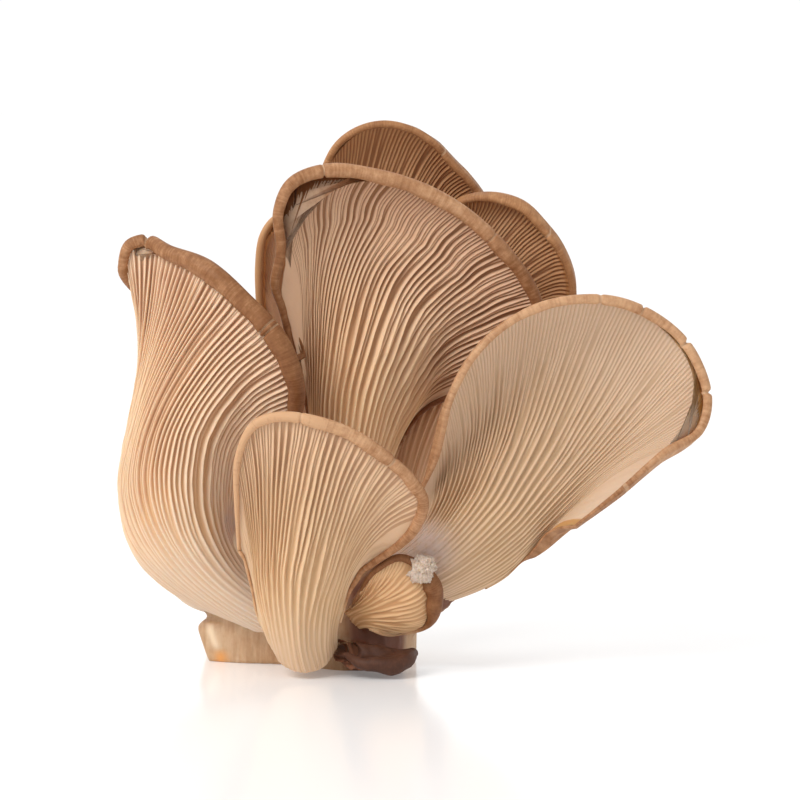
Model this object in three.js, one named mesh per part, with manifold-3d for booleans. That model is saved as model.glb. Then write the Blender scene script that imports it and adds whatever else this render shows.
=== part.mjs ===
// An oyster mushroom cluster: nine fruit bodies that grew together from one butt, cut off flat below.
// Millimetres, +Z up. The origin lies in the flat cut face that the cluster stands on.
// The gilled undersides face -Y, and the smooth brown tops of the caps face +Y and up.
// Each fruit body is two pieces, by colour: a brown cap with its rolled margin, and the cream
// stem, which spreads into the gills under that cap.

import * as THREE from "three";
import { mergeVertices } from "three/addons/utils/BufferGeometryUtils.js";
import Module from "manifold-3d";

// Driving dimensions that every fruit body shares
const GAP = 0.3; // clear space between neighbouring pieces
const SLIVER = 0.03; // facets thinner than this, left by a cut, are merged into their neighbours
const EDGE_GAP = 1.5; // clear space between the ends of the gills and the rolled margin
const START_GAP = 0.8; // clear space where the cap starts on the back of the stem
const START_RAISE = 0.2; // how far up its first strip the cap's skin starts, as a share
const GILL_PLATE = 1.1; // flesh that the gills stand on, under the cap
const GILL_HEIGHT = 2; // most height of a gill half way up the fan
const GILL_STEEPNESS = 0.8; // most height of a gill, as a share of the gap to the next one
const SHORT_GILLS_FROM = 0.4; // share of the way up at which a short gill starts between each two long ones
const PLAIN_FROM = 0.28; // share of the way up at which a plain strip starts beside the gills
const PLAIN_TO = 0.9; // and at which it has its full width
const PLAIN_LEAST = 0.05; // least share of a row that a plain strip takes
const PLAIN_STEPS = 4; // facets across a plain strip
const SKIN_START = 0.6; // thickness of the cap where it runs out on the back of the stem
const STEM_EDGE = 0.6; // thickness left at the two sides of a stem
const LIP_ANGLES = [-15, 50, 110, 175, 245].map(THREE.MathUtils.degToRad); // points round the roll
const LIP_LIFT = 0.35; // the roll's centre stands this share of its radius in front of the face
const MARGIN_THIN = 1.7; // least thickness of cap and gill plate beside the margin
const LIP_START = 0.3; // radius of the rolled margin where it runs out on the stem
const MOST_INSET = 0.5; // most of a row or a gill that the rolled margin may take
const MOST_DRAWN_IN = 0.85; // most of the way to the next point that the edge of the gills is drawn in
const MOST_TWIST = 1; // a face of the flesh that is twisted more than this is split in four
const PROBE = 0.004; // step, as a share of a row or a rib, for measuring slopes

// Rows across the gills of one fruit body, as shares of the way from its foot to its margin
const FINE_ROWS = [0, 0.12, 0.26, 0.42, 0.58, 0.75, 0.91, 1];
const PLAIN_ROWS = [0, 0.15, 0.32, 0.5, 0.7, 0.89, 1];

// One entry for each fruit body. foot, waist, fan and margin are sections across its gilled face, from
// the left side to the right side as seen from -Y, at 0, 1/3, 2/3 and all of the way up a gill.
// stem: depth of the stem behind that face. flesh: thickness in the middle of the cap.
// lip: radius of the rolled margin, from its left end to its right end.
// capRow: index of the row where the cap's skin starts. columns: facets across the cap.
// gills: how many meet the margin, a third of the real number and each three times as wide.
// plain: shares of the margin at its left and right end that no gill reaches.
const FRUIT_BODIES = {
  front: {
    foot: [[-12, -19, 7], [-9, -25, 3.5], [-4, -28, 2.2], [1, -25, 3], [4.5, -19, 7]],
    waist: [[-15, -20, 14], [-12.5, -29, 20], [-5.5, -34, 23], [2, -30, 20.5], [5.8, -21, 14.5]],
    fan: [[-17.5, -24, 24.5], [-16, -30, 37], [-10.5, -35, 44], [-2.5, -38, 46], [6.5, -36, 42.5],
      [10.5, -30, 33.5], [8.8, -23, 22.5]],
    margin: [[-19.2, -26, 32], [-20.5, -31, 44], [-20, -36, 57], [-15.5, -39, 65.5], [-7, -40, 67.8],
      [6.5, -40, 64.5], [18.7, -38, 56.5], [27, -34, 46], [24.5, -31, 37], [13, -26, 27]],
    stem: 14, flesh: 4.4, lip: [0.4, 0.8, 1.4, 1.7, 1.5, 0.8],
    rows: FINE_ROWS, capRow: 2, gills: 26, plain: [0.18, 0.17], columns: 14,
  },
  left: {
    foot: [[-23, 5, 11.5], [-18.5, -4, 9.5], [-14, -10, 9.5], [-12.5, -13, 14], [-13.5, -10, 19],
      [-15.5, -3, 23]],
    waist: [[-42, 16, 26], [-48.5, 5, 32], [-45.5, -9, 38], [-37.5, -18, 42], [-30, -17, 43],
      [-24, -10, 41.5], [-17.5, 2, 35]],
    fan: [[-41, 16, 60], [-46.5, 3, 63], [-42.5, -11, 69], [-33.5, -20, 72], [-24.5, -21, 70.5],
      [-17.5, -17, 63], [-15.5, -12, 56], [-17, -7, 49]],
    margin: [[-41, 12, 84], [-44.7, 3, 93], [-49.5, -3, 101], [-48, -5, 106.5], [-42.5, -5, 108.2],
      [-36.2, -11, 105.8], [-26, -18, 102.5], [-16.2, -22, 94.2], [-7.5, -24, 85], [-3, -23, 72.3],
      [-5, -19, 61], [-11, -13, 52]],
    stem: 11, flesh: 4.8, lip: [0.9, 1.2, 1.6, 2.5, 2.7, 2.6, 2, 0.8],
    rows: FINE_ROWS, capRow: 2, gills: 36, plain: [0.06, 0.06], columns: 18,
  },
  centre: {
    foot: [[1, 4, 24], [4.5, -3, 22], [9.5, -4, 22], [14, 3, 24]],
    waist: [[-1.5, 3, 48], [-0.5, -4, 58], [3.5, -8, 65], [10, -9, 67], [15.8, -5, 63.5], [18.8, 1, 57],
      [18, 6, 49]],
    fan: [[-4, -3, 68], [-4.5, -5, 84], [0.5, -2, 97.5], [10, 1, 101], [20, 2, 97.5], [28.5, 4, 90],
      [33, 7, 80], [31, 9, 69], [26, 9, 62]],
    margin: [[-5.5, -3, 79], [-10, -8, 89.5], [-12, -11, 96], [-10.5, -11.5, 105], [-11.2, -11.5, 114.5],
      [-7.5, -11, 122], [2.5, -9, 125.5], [15, -7, 124], [27.5, -5, 120], [38.7, -3, 113.2],
      [48.2, -1, 103.7], [55.2, 1, 92.4], [56.2, 3, 82], [51, 6, 73], [42, 8, 67]],
    stem: 12, flesh: 4.8, lip: [0.6, 1.2, 1.5, 1.8, 1.9, 1.8, 1.4, 0.8],
    rows: FINE_ROWS, capRow: 2, gills: 36, plain: [0.27, 0.06], columns: 20,
  },
  right: {
    foot: [[13.5, -3, 25], [14, -9, 24], [16.5, -12, 20], [17, -10, 15.5], [18, -4, 13]],
    waist: [[22.3, -11, 35], [30, -17, 38], [36, -19, 40], [42, -19, 38], [45.5, -17.5, 32.5],
      [45.5, -14.5, 26.5], [44, -10.5, 21.5]],
    fan: [[25, -12.5, 39.5], [32.5, -12, 50], [42, -10, 60], [53, -9, 64.5], [64, -8.5, 62],
      [69, -9.5, 54.5], [65, -12.5, 44], [54, -15, 31.5]],
    margin: [[24.3, -13.5, 45], [28.5, -16.5, 54], [31.5, -18, 68], [37, -19, 78.7], [46.2, -19, 87.7],
      [57.5, -18, 93], [71.2, -16, 94], [82.5, -14, 89.7], [92.5, -13, 81], [97.2, -14, 69],
      [95, -17, 60.5], [86.2, -21, 55.5], [75, -23, 46], [63, -21, 36.5]],
    stem: 11, flesh: 4.6, lip: [0.6, 0.9, 1.1, 1.3, 1.3, 1, 0.35],
    rows: FINE_ROWS, capRow: 2, gills: 36, plain: [0.06, 0.22], columns: 20,
  },
  top: {
    foot: [[4, 18, 20], [6, 13, 21], [11, 12, 21], [14, 17, 20]],
    waist: [[4.5, 25, 64], [7.5, 20, 74], [13.5, 19, 78], [19, 21, 74], [21.5, 26, 64]],
    fan: [[3, 26, 94], [5, 25, 107], [13.5, 25, 113], [23.5, 27, 112], [30, 30, 104], [29, 32, 92]],
    margin: [[1, 23, 106], [-1, 21, 118], [2.5, 18, 128.5], [9.5, 17, 133.7], [17, 17, 135],
      [26.2, 18, 132], [33.7, 20, 125], [42.5, 24, 114.5], [46, 28, 105], [42, 32, 97]],
    stem: 9, flesh: 4, lip: [0.7, 0.9, 0.9, 1, 0.9, 0.7],
    rows: PLAIN_ROWS, capRow: 2, gills: 20, plain: [0.22, 0.08], columns: 12,
  },
  back_right: {
    foot: [[17, 8, 21], [19, 4, 22.5], [22.5, 4, 22.5], [25, 8, 21]],
    waist: [[19.5, 17, 52], [21.2, 13, 58.5], [25, 12, 61], [28.8, 13, 58.5], [31, 17, 52]],
    fan: [[27, 22, 88], [32, 19, 96.5], [39.5, 18, 99], [46.2, 18, 93], [48, 20, 84], [45, 23, 75.5]],
    margin: [[30, 18, 104], [34.5, 14, 114.5], [42.5, 12, 116], [51.2, 11, 113], [58, 11, 106],
      [62.7, 12, 98.5], [64.5, 14, 90.5], [63, 17, 80.5], [57, 20, 73]],
    stem: 8, flesh: 3.8, lip: [0.7, 0.9, 0.9, 0.9, 0.7],
    rows: PLAIN_ROWS, capRow: 2, gills: 18, plain: [0.06, 0.1], columns: 11,
  },
  back_left: {
    foot: [[-5, 14, 18], [-3, 10, 19], [1, 10, 19], [3, 14, 18]],
    waist: [[-6.5, 16, 52], [-5, 13.5, 57], [-2, 13.5, 58], [0, 16, 56]],
    fan: [[-9.5, 15, 70], [-10, 14, 80], [-9, 14, 90], [-6, 14, 94], [-2.5, 14.5, 93], [-0.5, 15, 88]],
    margin: [[-14, 13, 76], [-16.2, 12, 88], [-16.5, 11, 99], [-15.3, 10.5, 107], [-11, 11, 112],
      [-4.5, 12, 111], [1.5, 13, 107]],
    stem: 7, flesh: 3, lip: [0.5, 1, 1.1, 0.9, 0.3],
    rows: PLAIN_ROWS, capRow: 2, gills: 8, plain: [0.4, 0.06], columns: 9,
  },
  small_side: {
    foot: [[5, -9, 13.5], [7, -13, 13.5], [8.5, -14, 11.5], [8, -11, 9.5]],
    waist: [[7.5, -16, 16.5], [10, -19, 17.5], [13, -21, 15.5], [12.5, -18, 10.8]],
    fan: [[8.5, -19, 18.5], [12.5, -23, 22], [18, -25, 22.5], [21, -25, 18.5], [20, -22, 13.3],
      [15.5, -18, 9.8]],
    margin: [[9.5, -21, 21], [13.5, -25, 27.3], [19.5, -26, 31], [25, -25, 29], [29.5, -23, 23.3],
      [29.5, -21, 16], [27, -19, 12], [20, -17, 9.8]],
    stem: 4, flesh: 3.4, lip: [0.5, 0.7, 0.9, 1.2, 2.4, 2, 0.6, 0.4],
    rows: PLAIN_ROWS, capRow: 2, gills: 14, plain: [0.06, 0.06], columns: 9,
  },
  small_low: {
    foot: [[2, -11, 6.5], [4, -13, 4.5], [7, -13, 3.5], [9, -10, 3.5]],
    waist: [[3.5, -18, 5.6], [7, -22.5, 3.7], [11, -22.5, 3], [14, -15, 2.5]],
    fan: [[5.5, -21.5, 5.8], [10, -26, 4.2], [15.5, -26, 3.6], [19, -17, 3.2]],
    margin: [[7, -23, 6.2], [12.5, -28, 5.2], [18.5, -27.5, 5.4], [22.5, -24, 6], [24, -17, 6]],
    stem: 4, flesh: 5, lip: [0.8, 1.6, 2.4, 2.2, 1.2],
    rows: PLAIN_ROWS, capRow: 2, gills: 10, plain: [0.06, 0.06], columns: 7,
  },
};

// The butt: its outline where it is widest, and its top, which is low at the left cut and rises in a dome
const BUTT_OUTLINE = [[-31.5, 8], [-29.5, 1.5], [-21, -2.5], [-11, -4.5], [-3, -9.5], [6, -15],
  [16, -13], [22, -4], [24, 8], [18, 20], [4, 27], [-12, 25], [-26, 18]];
const BUTT_MIDDLE = [0, 6];
const BUTT_LOW = 10; // height of its shoulder at the left
const BUTT_DOME = 15; // how far the dome rises above that shoulder
const BUTT_DOME_AT = [8, 5];
const BUTT_DOME_REACH = [17, 15];
const BUTT_SIDES = 26;

// Colours
const CAP_BROWN = new THREE.Color(0.42, 0.25, 0.15);
const GILL_CREAM = new THREE.Color(0.8, 0.62, 0.42);
const BUTT_CREAM = new THREE.Color(0.82, 0.64, 0.43);

const mix = THREE.MathUtils.lerp;
const smooth = THREE.MathUtils.smoothstep;

// Value of a list of numbers that are evenly spread from 0 to 1, read at x
function along(values, x) {
  const place = THREE.MathUtils.clamp(x, 0, 1) * (values.length - 1);
  const i = Math.min(Math.floor(place), values.length - 2);
  return mix(values[i], values[i + 1], place - i);
}

// The gilled face of a fruit body as a surface: s runs across it and t runs up its gills, both 0 to 1
class GilledFace {
  constructor(body) {
    this.body = body;
    const sections = [body.foot, body.waist, body.fan, body.margin];
    this.curves = sections.map((row) => new THREE.CatmullRomCurve3(row.map((p) => new THREE.Vector3(...p))));
  }

  // The cubic in t that passes through the four sections
  point(s, t) {
    const u = 3 * t;
    const weights = [
      ((u - 1) * (u - 2) * (u - 3)) / -6,
      (u * (u - 2) * (u - 3)) / 2,
      (u * (u - 1) * (u - 3)) / -2,
      (u * (u - 1) * (u - 2)) / 6,
    ];
    const at = THREE.MathUtils.clamp(s, 0, 1);
    const sum = new THREE.Vector3();
    this.curves.forEach((curve, i) => sum.addScaledVector(curve.getPointAt(at), weights[i]));
    return sum;
  }

  across(s, t) {
    const low = Math.max(0, s - PROBE);
    const high = Math.min(1, s + PROBE);
    return this.point(high, t).sub(this.point(low, t)).divideScalar(high - low);
  }

  up(s, t) {
    const low = Math.max(0, t - PROBE);
    const high = Math.min(1, t + PROBE);
    return this.point(s, high).sub(this.point(s, low)).divideScalar(high - low);
  }

  // Unit normal on the gilled side
  normal(s, t) {
    return this.across(s, t).cross(this.up(s, t)).normalize();
  }

  // Radius of the rolled margin: along the margin it is listed, and down both sides it tapers
  lipAt(s) {
    return along(this.body.lip, s);
  }

  lipBeside(end, b) {
    const start = this.body.rows[this.body.capRow];
    return mix(LIP_START, this.lipAt(end), smooth(b, start, 1));
  }

  // Share of a row that a strip of the given width takes beside its left (0) or right (1) end
  besideShare(end, b, width) {
    const up = this.up(end, b);
    const reach = this.across(end, b).cross(up).length() / up.length();
    return Math.min(width / reach, MOST_INSET);
  }

  // Share of a gill that a strip of the given width takes below the margin
  belowShare(s, width) {
    const across = this.across(s, 1);
    const reach = this.up(s, 1).cross(across).length() / across.length();
    return Math.min(width / reach, MOST_INSET);
  }

  // Surface place of column a and row b, both 0 to 1, on the face less its rolled margin
  place(a, b) {
    const inset = smooth(b, 0, this.body.rows[this.body.capRow]);
    const left = inset * this.besideShare(0, b, 2 * this.lipBeside(0, b));
    const right = inset * this.besideShare(1, b, 2 * this.lipBeside(1, b));
    const s = left + a * (1 - left - right);
    const t = b * (1 - this.belowShare(s, 2 * this.lipAt(s)));
    return [s, t];
  }

  // Column at a share q of the way across the gills, which leave a plain strip beside both ends
  gillColumn(q, b) {
    if (b < PLAIN_FROM) return q;
    const strip = (share) => Math.max(PLAIN_LEAST, share * smooth(b, PLAIN_FROM, PLAIN_TO));
    const [left, right] = this.body.plain.map(strip);
    return left + q * (1 - left - right);
  }

  // How far the flesh of stem or cap reaches behind the gilled face
  depth(a, b) {
    const side = Math.abs(2 * a - 1);
    const stem = this.body.stem * Math.sqrt(Math.max(0, 1 - side * side));
    const thin = Math.max(MARGIN_THIN, 0.9 * this.lipAt(a));
    const inward = Math.sqrt(Math.min(1, (1 - b) / 0.3)) * (1 - side ** 5);
    const cap = mix(thin, this.body.flesh, inward);
    return Math.max(STEM_EDGE, mix(stem, cap, this.spread(b)));
  }

  // 0 on the stem and 1 in the fan
  spread(b) {
    const start = this.body.rows[this.body.capRow];
    return smooth(b, 0.05, start + 0.2);
  }

  // Thickness of the cap's own flesh at column a and row b
  capFlesh(a, b) {
    const start = this.body.rows[this.body.capRow];
    const full = this.depth(a, b) - GILL_PLATE * mix(1, 0.5, smooth(b, 0.8, 1)) - GAP;
    return Math.max(0.25, mix(Math.min(SKIN_START, full), full, smooth(b, start, start + 0.3)));
  }

  // Clear space between cap and gill plate: wider where the cap starts, round the bend of the stem
  gapAt(b) {
    const start = this.body.rows[this.body.capRow];
    return mix(START_GAP, GAP, smooth(b, start, start + 0.1));
  }

  // Unit vector from the gilled face towards the back: one for the whole section on the stem
  backward(s, t, b) {
    const own = this.normal(s, t);
    const spine = this.normal(0.5, t);
    return spine.lerp(own, this.spread(b)).normalize().negate();
  }
}

// Triangles between two rows of vertex numbers that run side by side, paired by their share of the way
// along the row. spare says how many vertices at each end of either row lie outside its evenly spread ones.
function stitch(first, second, spare = [0, 0]) {
  const share = (row, i, outside) => {
    const inner = row.length - 1 - 2 * outside;
    const place = i - outside;
    if (i >= row.length) return Infinity;
    if (place < 0) return place;
    return place > inner ? 1 + place - inner : place / inner;
  };
  const triangles = [];
  let i = 0;
  let j = 0;
  while (i < first.length - 1 || j < second.length - 1) {
    if (share(first, i + 1, spare[0]) <= share(second, j + 1, spare[1])) {
      triangles.push([first[i], first[i + 1], second[j]]);
      i += 1;
    } else {
      triangles.push([first[i], second[j + 1], second[j]]);
      j += 1;
    }
  }
  return triangles;
}

// Triangles of a grid of vertex numbers, listed row by row
function weave(grid) {
  const triangles = [];
  for (let j = 0; j < grid.length - 1; j++) {
    for (let i = 0; i < grid[j].length - 1; i++) {
      triangles.push([grid[j][i], grid[j][i + 1], grid[j + 1][i + 1]]);
      triangles.push([grid[j][i], grid[j + 1][i + 1], grid[j + 1][i]]);
    }
  }
  return triangles;
}

// The same for a grid that curls: a four-sided face that is twisted gets a vertex in its middle, so
// that it lies as a ruled surface does
function weaveCurled(grid, vertices) {
  const triangles = [];
  for (let j = 0; j < grid.length - 1; j++) {
    for (let i = 0; i < grid[j].length - 1; i++) {
      const corners = [grid[j][i], grid[j][i + 1], grid[j + 1][i + 1], grid[j + 1][i]];
      const [p, q, r, o] = corners.map((k) => vertices.list[k]);
      const twist = p.clone().sub(q).add(r).sub(o).length();
      if (twist < MOST_TWIST) {
        triangles.push([corners[0], corners[1], corners[2]]);
        triangles.push([corners[0], corners[2], corners[3]]);
        continue;
      }
      const middle = vertices.add(p.clone().add(q).add(r).add(o).divideScalar(4));
      for (let k = 0; k < 4; k++) triangles.push([corners[k], corners[(k + 1) % 4], middle]);
    }
  }
  return triangles;
}

// A list of vertices that hands out their numbers
class Vertices {
  constructor() {
    this.list = [];
  }

  add(point) {
    this.list.push(point);
    return this.list.length - 1;
  }
}

// A closed geometry, turned so that its faces point outwards
function closedGeometry(vertices, triangles) {
  const corner = (k) => vertices.list[k];
  let volume = 0;
  for (const [a, b, c] of triangles) volume += corner(a).dot(corner(b).clone().cross(corner(c)));
  const index = triangles.flatMap(([a, b, c]) => (volume < 0 ? [a, c, b] : [a, b, c]));
  const geometry = new THREE.BufferGeometry().setFromPoints(vertices.list);
  geometry.setIndex(index);
  return geometry;
}

// Height of a gill at a share q across the gills of row b: low where they crowd, tapering out at margin
// and sides
function gillHeight(face, q, b, gills) {
  const side = 1 - Math.abs(2 * q - 1) ** 6;
  const width = face.gillColumn(1, b) - face.gillColumn(0, b);
  const pitch = (face.across(face.gillColumn(q, b), b).length() * width) / gills;
  const taper = mix(1, 0.2, smooth(b, 0.86, 1));
  return Math.min(GILL_HEIGHT, GILL_STEEPNESS * pitch) * side * taper;
}

function plainSteps(b) {
  return b < PLAIN_FROM ? 0 : PLAIN_STEPS;
}

// One row of the gilled side: a zigzag of valleys and crests. Each gill is four steps wide, and above
// SHORT_GILLS_FROM the valley between two long gills carries a short one. Above PLAIN_FROM the first and
// the last few vertices lie in the plain strips.
function gillRow(face, vertices, b, baseRow) {
  const body = face.body;
  const steps = 2 * body.gills;
  const hasShort = b > SHORT_GILLS_FROM;
  const [left, right] = [face.gillColumn(0, b), face.gillColumn(1, b)];
  const row = [];
  for (let k = 0; k < plainSteps(b); k++) {
    row.push(vertices.add(onChords(baseRow, (left * k) / PLAIN_STEPS)));
  }
  for (let i = 0; i <= steps; i += hasShort ? 1 : 2) {
    const q = i / steps;
    const a = face.gillColumn(q, b);
    const isCrest = hasShort ? i % 2 === 0 : i % 4 === 2;
    const height = isCrest ? gillHeight(face, q, b, hasShort ? body.gills : body.gills / 2) : 0;
    const normal = face.normal(...face.place(a, b));
    row.push(vertices.add(onChords(baseRow, a).addScaledVector(normal, height)));
  }
  for (let k = 1; k <= plainSteps(b); k++) {
    row.push(vertices.add(onChords(baseRow, mix(right, 1, k / PLAIN_STEPS))));
  }
  return row;
}

// Point at a share of the way along a row of points, on the straight line between two of them
function onChords(row, a) {
  const place = THREE.MathUtils.clamp(a, 0, 1) * (row.length - 1);
  const k = Math.min(Math.floor(place), row.length - 2);
  return row[k].clone().lerp(row[k + 1], place - k);
}

// Points of every row and column at a depth behind the face
function layer(face, depthAt) {
  const { rows, columns } = face.body;
  return rows.map((b, j) => {
    const row = [];
    for (let k = 0; k <= columns; k++) {
      const a = k / columns;
      const [s, t] = face.place(a, b);
      row.push(face.point(s, t).addScaledVector(face.backward(s, t, b), depthAt(a, b, j)));
    }
    return row;
  });
}

// A layer drawn in at its sides and its top, to keep clear of the rolled margin
function trimmed(grid, capRow) {
  const result = grid.map((row) => row.map((point) => point.clone()));
  const top = grid.length - 1;
  const last = grid[0].length - 1;
  grid[top].forEach((point, k) => {
    const beside = grid[top][Math.min(k + 1, last)].clone().sub(grid[top][Math.max(k - 1, 0)]);
    drawIn(result[top][k], grid[top - 1][k], beside, EDGE_GAP);
  });
  result.forEach((row, j) => {
    const width = EDGE_GAP * Math.min(1, j / capRow);
    const up = (k) => grid[Math.min(j + 1, top)][k].clone().sub(grid[Math.max(j - 1, 0)][k]);
    drawIn(row[0], row[1], up(0), width);
    drawIn(row[last], row[last - 1], up(last), width);
  });
  return result;
}

// Moves a point towards another one until it is the given width away from the line along its edge
function drawIn(point, toward, edge, width) {
  const way = toward.clone().sub(point);
  const reach = way.clone().cross(edge).length() / edge.length();
  point.addScaledVector(way, Math.min(MOST_DRAWN_IN, width / reach));
}

// Stem and gills: a tube of sections, ridged on the gilled side and plain on the back
function stemAndGills(body) {
  const face = new GilledFace(body);
  const vertices = new Vertices();
  const plateDepth = (a, b, j) =>
    j < body.capRow ? face.depth(a, b) : face.depth(a, b) - face.capFlesh(a, b) - face.gapAt(b);
  const base = trimmed(layer(face, () => 0), body.capRow);
  const plate = trimmed(layer(face, plateDepth), body.capRow);
  const front = base.map((row, j) => gillRow(face, vertices, body.rows[j], row));
  const back = plate.map((row) => row.map((point) => vertices.add(point)));
  const last = front.length - 1;
  const leftSide = front.map((row, j) => [back[j][0], row[0]]);
  const rightSide = front.map((row, j) => [row[row.length - 1], back[j][back[j].length - 1]]);
  const steps = body.rows.map(plainSteps);
  const strips = front.slice(1).flatMap((row, j) => stitch(front[j], row, [steps[j], steps[j + 1]]));
  const triangles = [
    ...strips,
    ...weaveCurled(back.map((row) => [...row].reverse()), vertices),
    ...weave(leftSide),
    ...weave(rightSide),
    ...stitch(back[0], front[0]),
    ...stitch(front[last], back[last]),
  ];
  return closedGeometry(vertices, triangles);
}

// Cap: an underside and a top that share one grid, joined round the edge by the rolled margin
function cap(body) {
  const face = new GilledFace(body);
  const rows = body.rows.slice(body.capRow);
  const under = layer(face, (a, b) => face.depth(a, b) - face.capFlesh(a, b)).slice(body.capRow);
  const over = layer(face, (a, b) => face.depth(a, b)).slice(body.capRow);

  // The edge runs up the left side, along the margin and down the right side
  const top = rows.length - 1;
  const edge = [];
  for (let j = 0; j < top; j++) edge.push({ j, k: 0, s: 0, t: rows[j], lip: face.lipBeside(0, rows[j]) });
  for (let k = 0; k <= body.columns; k++) {
    const s = k / body.columns;
    edge.push({ j: top, k, s, t: 1, lip: face.lipAt(s) });
  }
  for (let j = top - 1; j >= 0; j--) {
    edge.push({ j, k: body.columns, s: 1, t: rows[j], lip: face.lipBeside(1, rows[j]) });
  }
  const outer = edge.map(({ s, t }) => face.point(s, t));
  const rolls = edge.map(({ s, t, lip }, i) => {
    const tangent = outer[Math.min(i + 1, edge.length - 1)].clone().sub(outer[Math.max(i - 1, 0)]);
    const normal = face.backward(s, t, t).negate();
    const outward = normal.clone().cross(tangent).normalize();
    const centre = outer[i].clone().addScaledVector(outward, -lip).addScaledVector(normal, LIP_LIFT * lip);
    return LIP_ANGLES.map((angle) => {
      const point = centre.clone().addScaledVector(outward, -lip * Math.cos(angle));
      return point.addScaledVector(normal, lip * Math.sin(angle));
    });
  });

  // The skin starts a little above its lowest row, clear of the bend where the stem meets the fan
  const raise = (row, next) => row.forEach((point, i) => point.lerp(next[i], START_RAISE));
  raise(under[0], under[1]);
  raise(over[0], over[1]);
  raise(rolls[0], rolls[1]);
  raise(rolls[rolls.length - 1], rolls[rolls.length - 2]);

  const vertices = new Vertices();
  const numbered = (row) => row.map((point) => vertices.add(point));
  const underRows = under.map(numbered);
  const overRows = over.map(numbered);
  const strips = edge.map(({ j, k }, i) => [underRows[j][k], ...numbered(rolls[i]), overRows[j][k]]);
  const triangles = [
    ...weaveCurled(underRows, vertices),
    ...weave(overRows.map((row) => [...row].reverse())),
    ...weave(strips.map((strip) => [...strip].reverse())),
    ...stitch(overRows[0], underRows[0]),
    ...fan(strips[0]),
    ...fan([...strips[strips.length - 1]].reverse()),
  ];
  return closedGeometry(vertices, triangles);
}

// Triangles that close a small polygon from its first corner
function fan(polygon) {
  const triangles = [];
  for (let i = 1; i < polygon.length - 1; i++) triangles.push([polygon[0], polygon[i], polygon[i + 1]]);
  return triangles;
}

// Butt: rings round its middle, flat below and domed above. margin makes the same body larger all over.
function butt(margin = 0) {
  const outline = new THREE.CatmullRomCurve3(
    BUTT_OUTLINE.map(([x, y]) => new THREE.Vector3(x, y, 0)),
    true,
  );
  const middle = new THREE.Vector3(...BUTT_MIDDLE, 0);
  const height = (x, y) => {
    const right = (x - BUTT_DOME_AT[0]) / BUTT_DOME_REACH[0];
    const back = (y - BUTT_DOME_AT[1]) / BUTT_DOME_REACH[1];
    return BUTT_LOW + BUTT_DOME * Math.exp(-right * right - back * back);
  };
  // Each ring: share of the outline's reach, and share of the local height
  const rings = [[0.95, 0], [1, 0.14], [1, 0.6], [0.94, 0.88], [0.82, 1], [0.6, 1], [0.35, 1]];
  const vertices = new Vertices();
  const grid = rings.map(([reach, lift]) => {
    const ring = [];
    for (let i = 0; i < BUTT_SIDES; i++) {
      const out = outline.getPointAt(i / BUTT_SIDES).sub(middle);
      out.setLength(out.length() * reach + margin);
      const point = middle.clone().add(out);
      point.z = lift * height(point.x, point.y) + (lift > 0.8 ? margin : 0) - (lift === 0 ? margin : 0);
      ring.push(vertices.add(point));
    }
    return [...ring, ring[0]];
  });
  const below = vertices.add(new THREE.Vector3(...BUTT_MIDDLE, -margin));
  const above = vertices.add(new THREE.Vector3(...BUTT_MIDDLE, height(...BUTT_MIDDLE) + margin));
  const last = grid[grid.length - 1];
  const triangles = weave(grid);
  for (let i = 0; i < BUTT_SIDES; i++) {
    triangles.push([grid[0][i + 1], grid[0][i], below]);
    triangles.push([last[i], last[i + 1], above]);
  }
  return closedGeometry(vertices, triangles);
}

const wasm = await Module();
wasm.setup();

function solidOf(geometry) {
  const merged = mergeVertices(new THREE.BufferGeometry().copy(geometry).deleteAttribute("normal"), 1e-4);
  const vertProperties = new Float32Array(merged.attributes.position.array);
  const triVerts = new Uint32Array(merged.index.array);
  return new wasm.Manifold(new wasm.Mesh({ numProp: 3, vertProperties, triVerts }));
}

function geometryOf(solid) {
  const mesh = solid.getMesh();
  const geometry = new THREE.BufferGeometry();
  geometry.setAttribute("position", new THREE.BufferAttribute(new Float32Array(mesh.vertProperties), 3));
  geometry.setIndex(new THREE.BufferAttribute(new Uint32Array(mesh.triVerts), 1));
  return geometry;
}

function piece(name, geometry, color, roughness) {
  geometry.computeVertexNormals();
  const mesh = new THREE.Mesh(geometry, new THREE.MeshStandardMaterial({ color, roughness, metalness: 0 }));
  mesh.name = name;
  return mesh;
}

// The largest of the bodies that a cut leaves
function largest(solid) {
  return solid.decompose().reduce((one, other) => (other.volume() > one.volume() ? other : one));
}

const cluster = new THREE.Group();
const buttWithClearance = solidOf(butt(GAP));
for (const [name, body] of Object.entries(FRUIT_BODIES)) {
  const grown = largest(solidOf(stemAndGills(body)).subtract(buttWithClearance)).simplify(SLIVER);
  cluster.add(piece(`gills_${name}`, geometryOf(grown), GILL_CREAM, 0.75));
  cluster.add(piece(`cap_${name}`, cap(body), CAP_BROWN, 0.6));
}
cluster.add(piece("butt", butt(), BUTT_CREAM, 0.8));

export default cluster;
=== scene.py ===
# %% [markdown]
# # An oyster mushroom cluster
# Nine fruit bodies grow from one butt. Each is a cream stem that spreads into a fan of gills, under a
# thin brown cap whose margin rolls over the ends of the gills. The imported CAD model is the frame: it
# fixes every place and size, and this script replaces its coarse pieces with fine ones on the same
# sections. The CAD box is measured first.

# %% Load the imported model
import math

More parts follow.
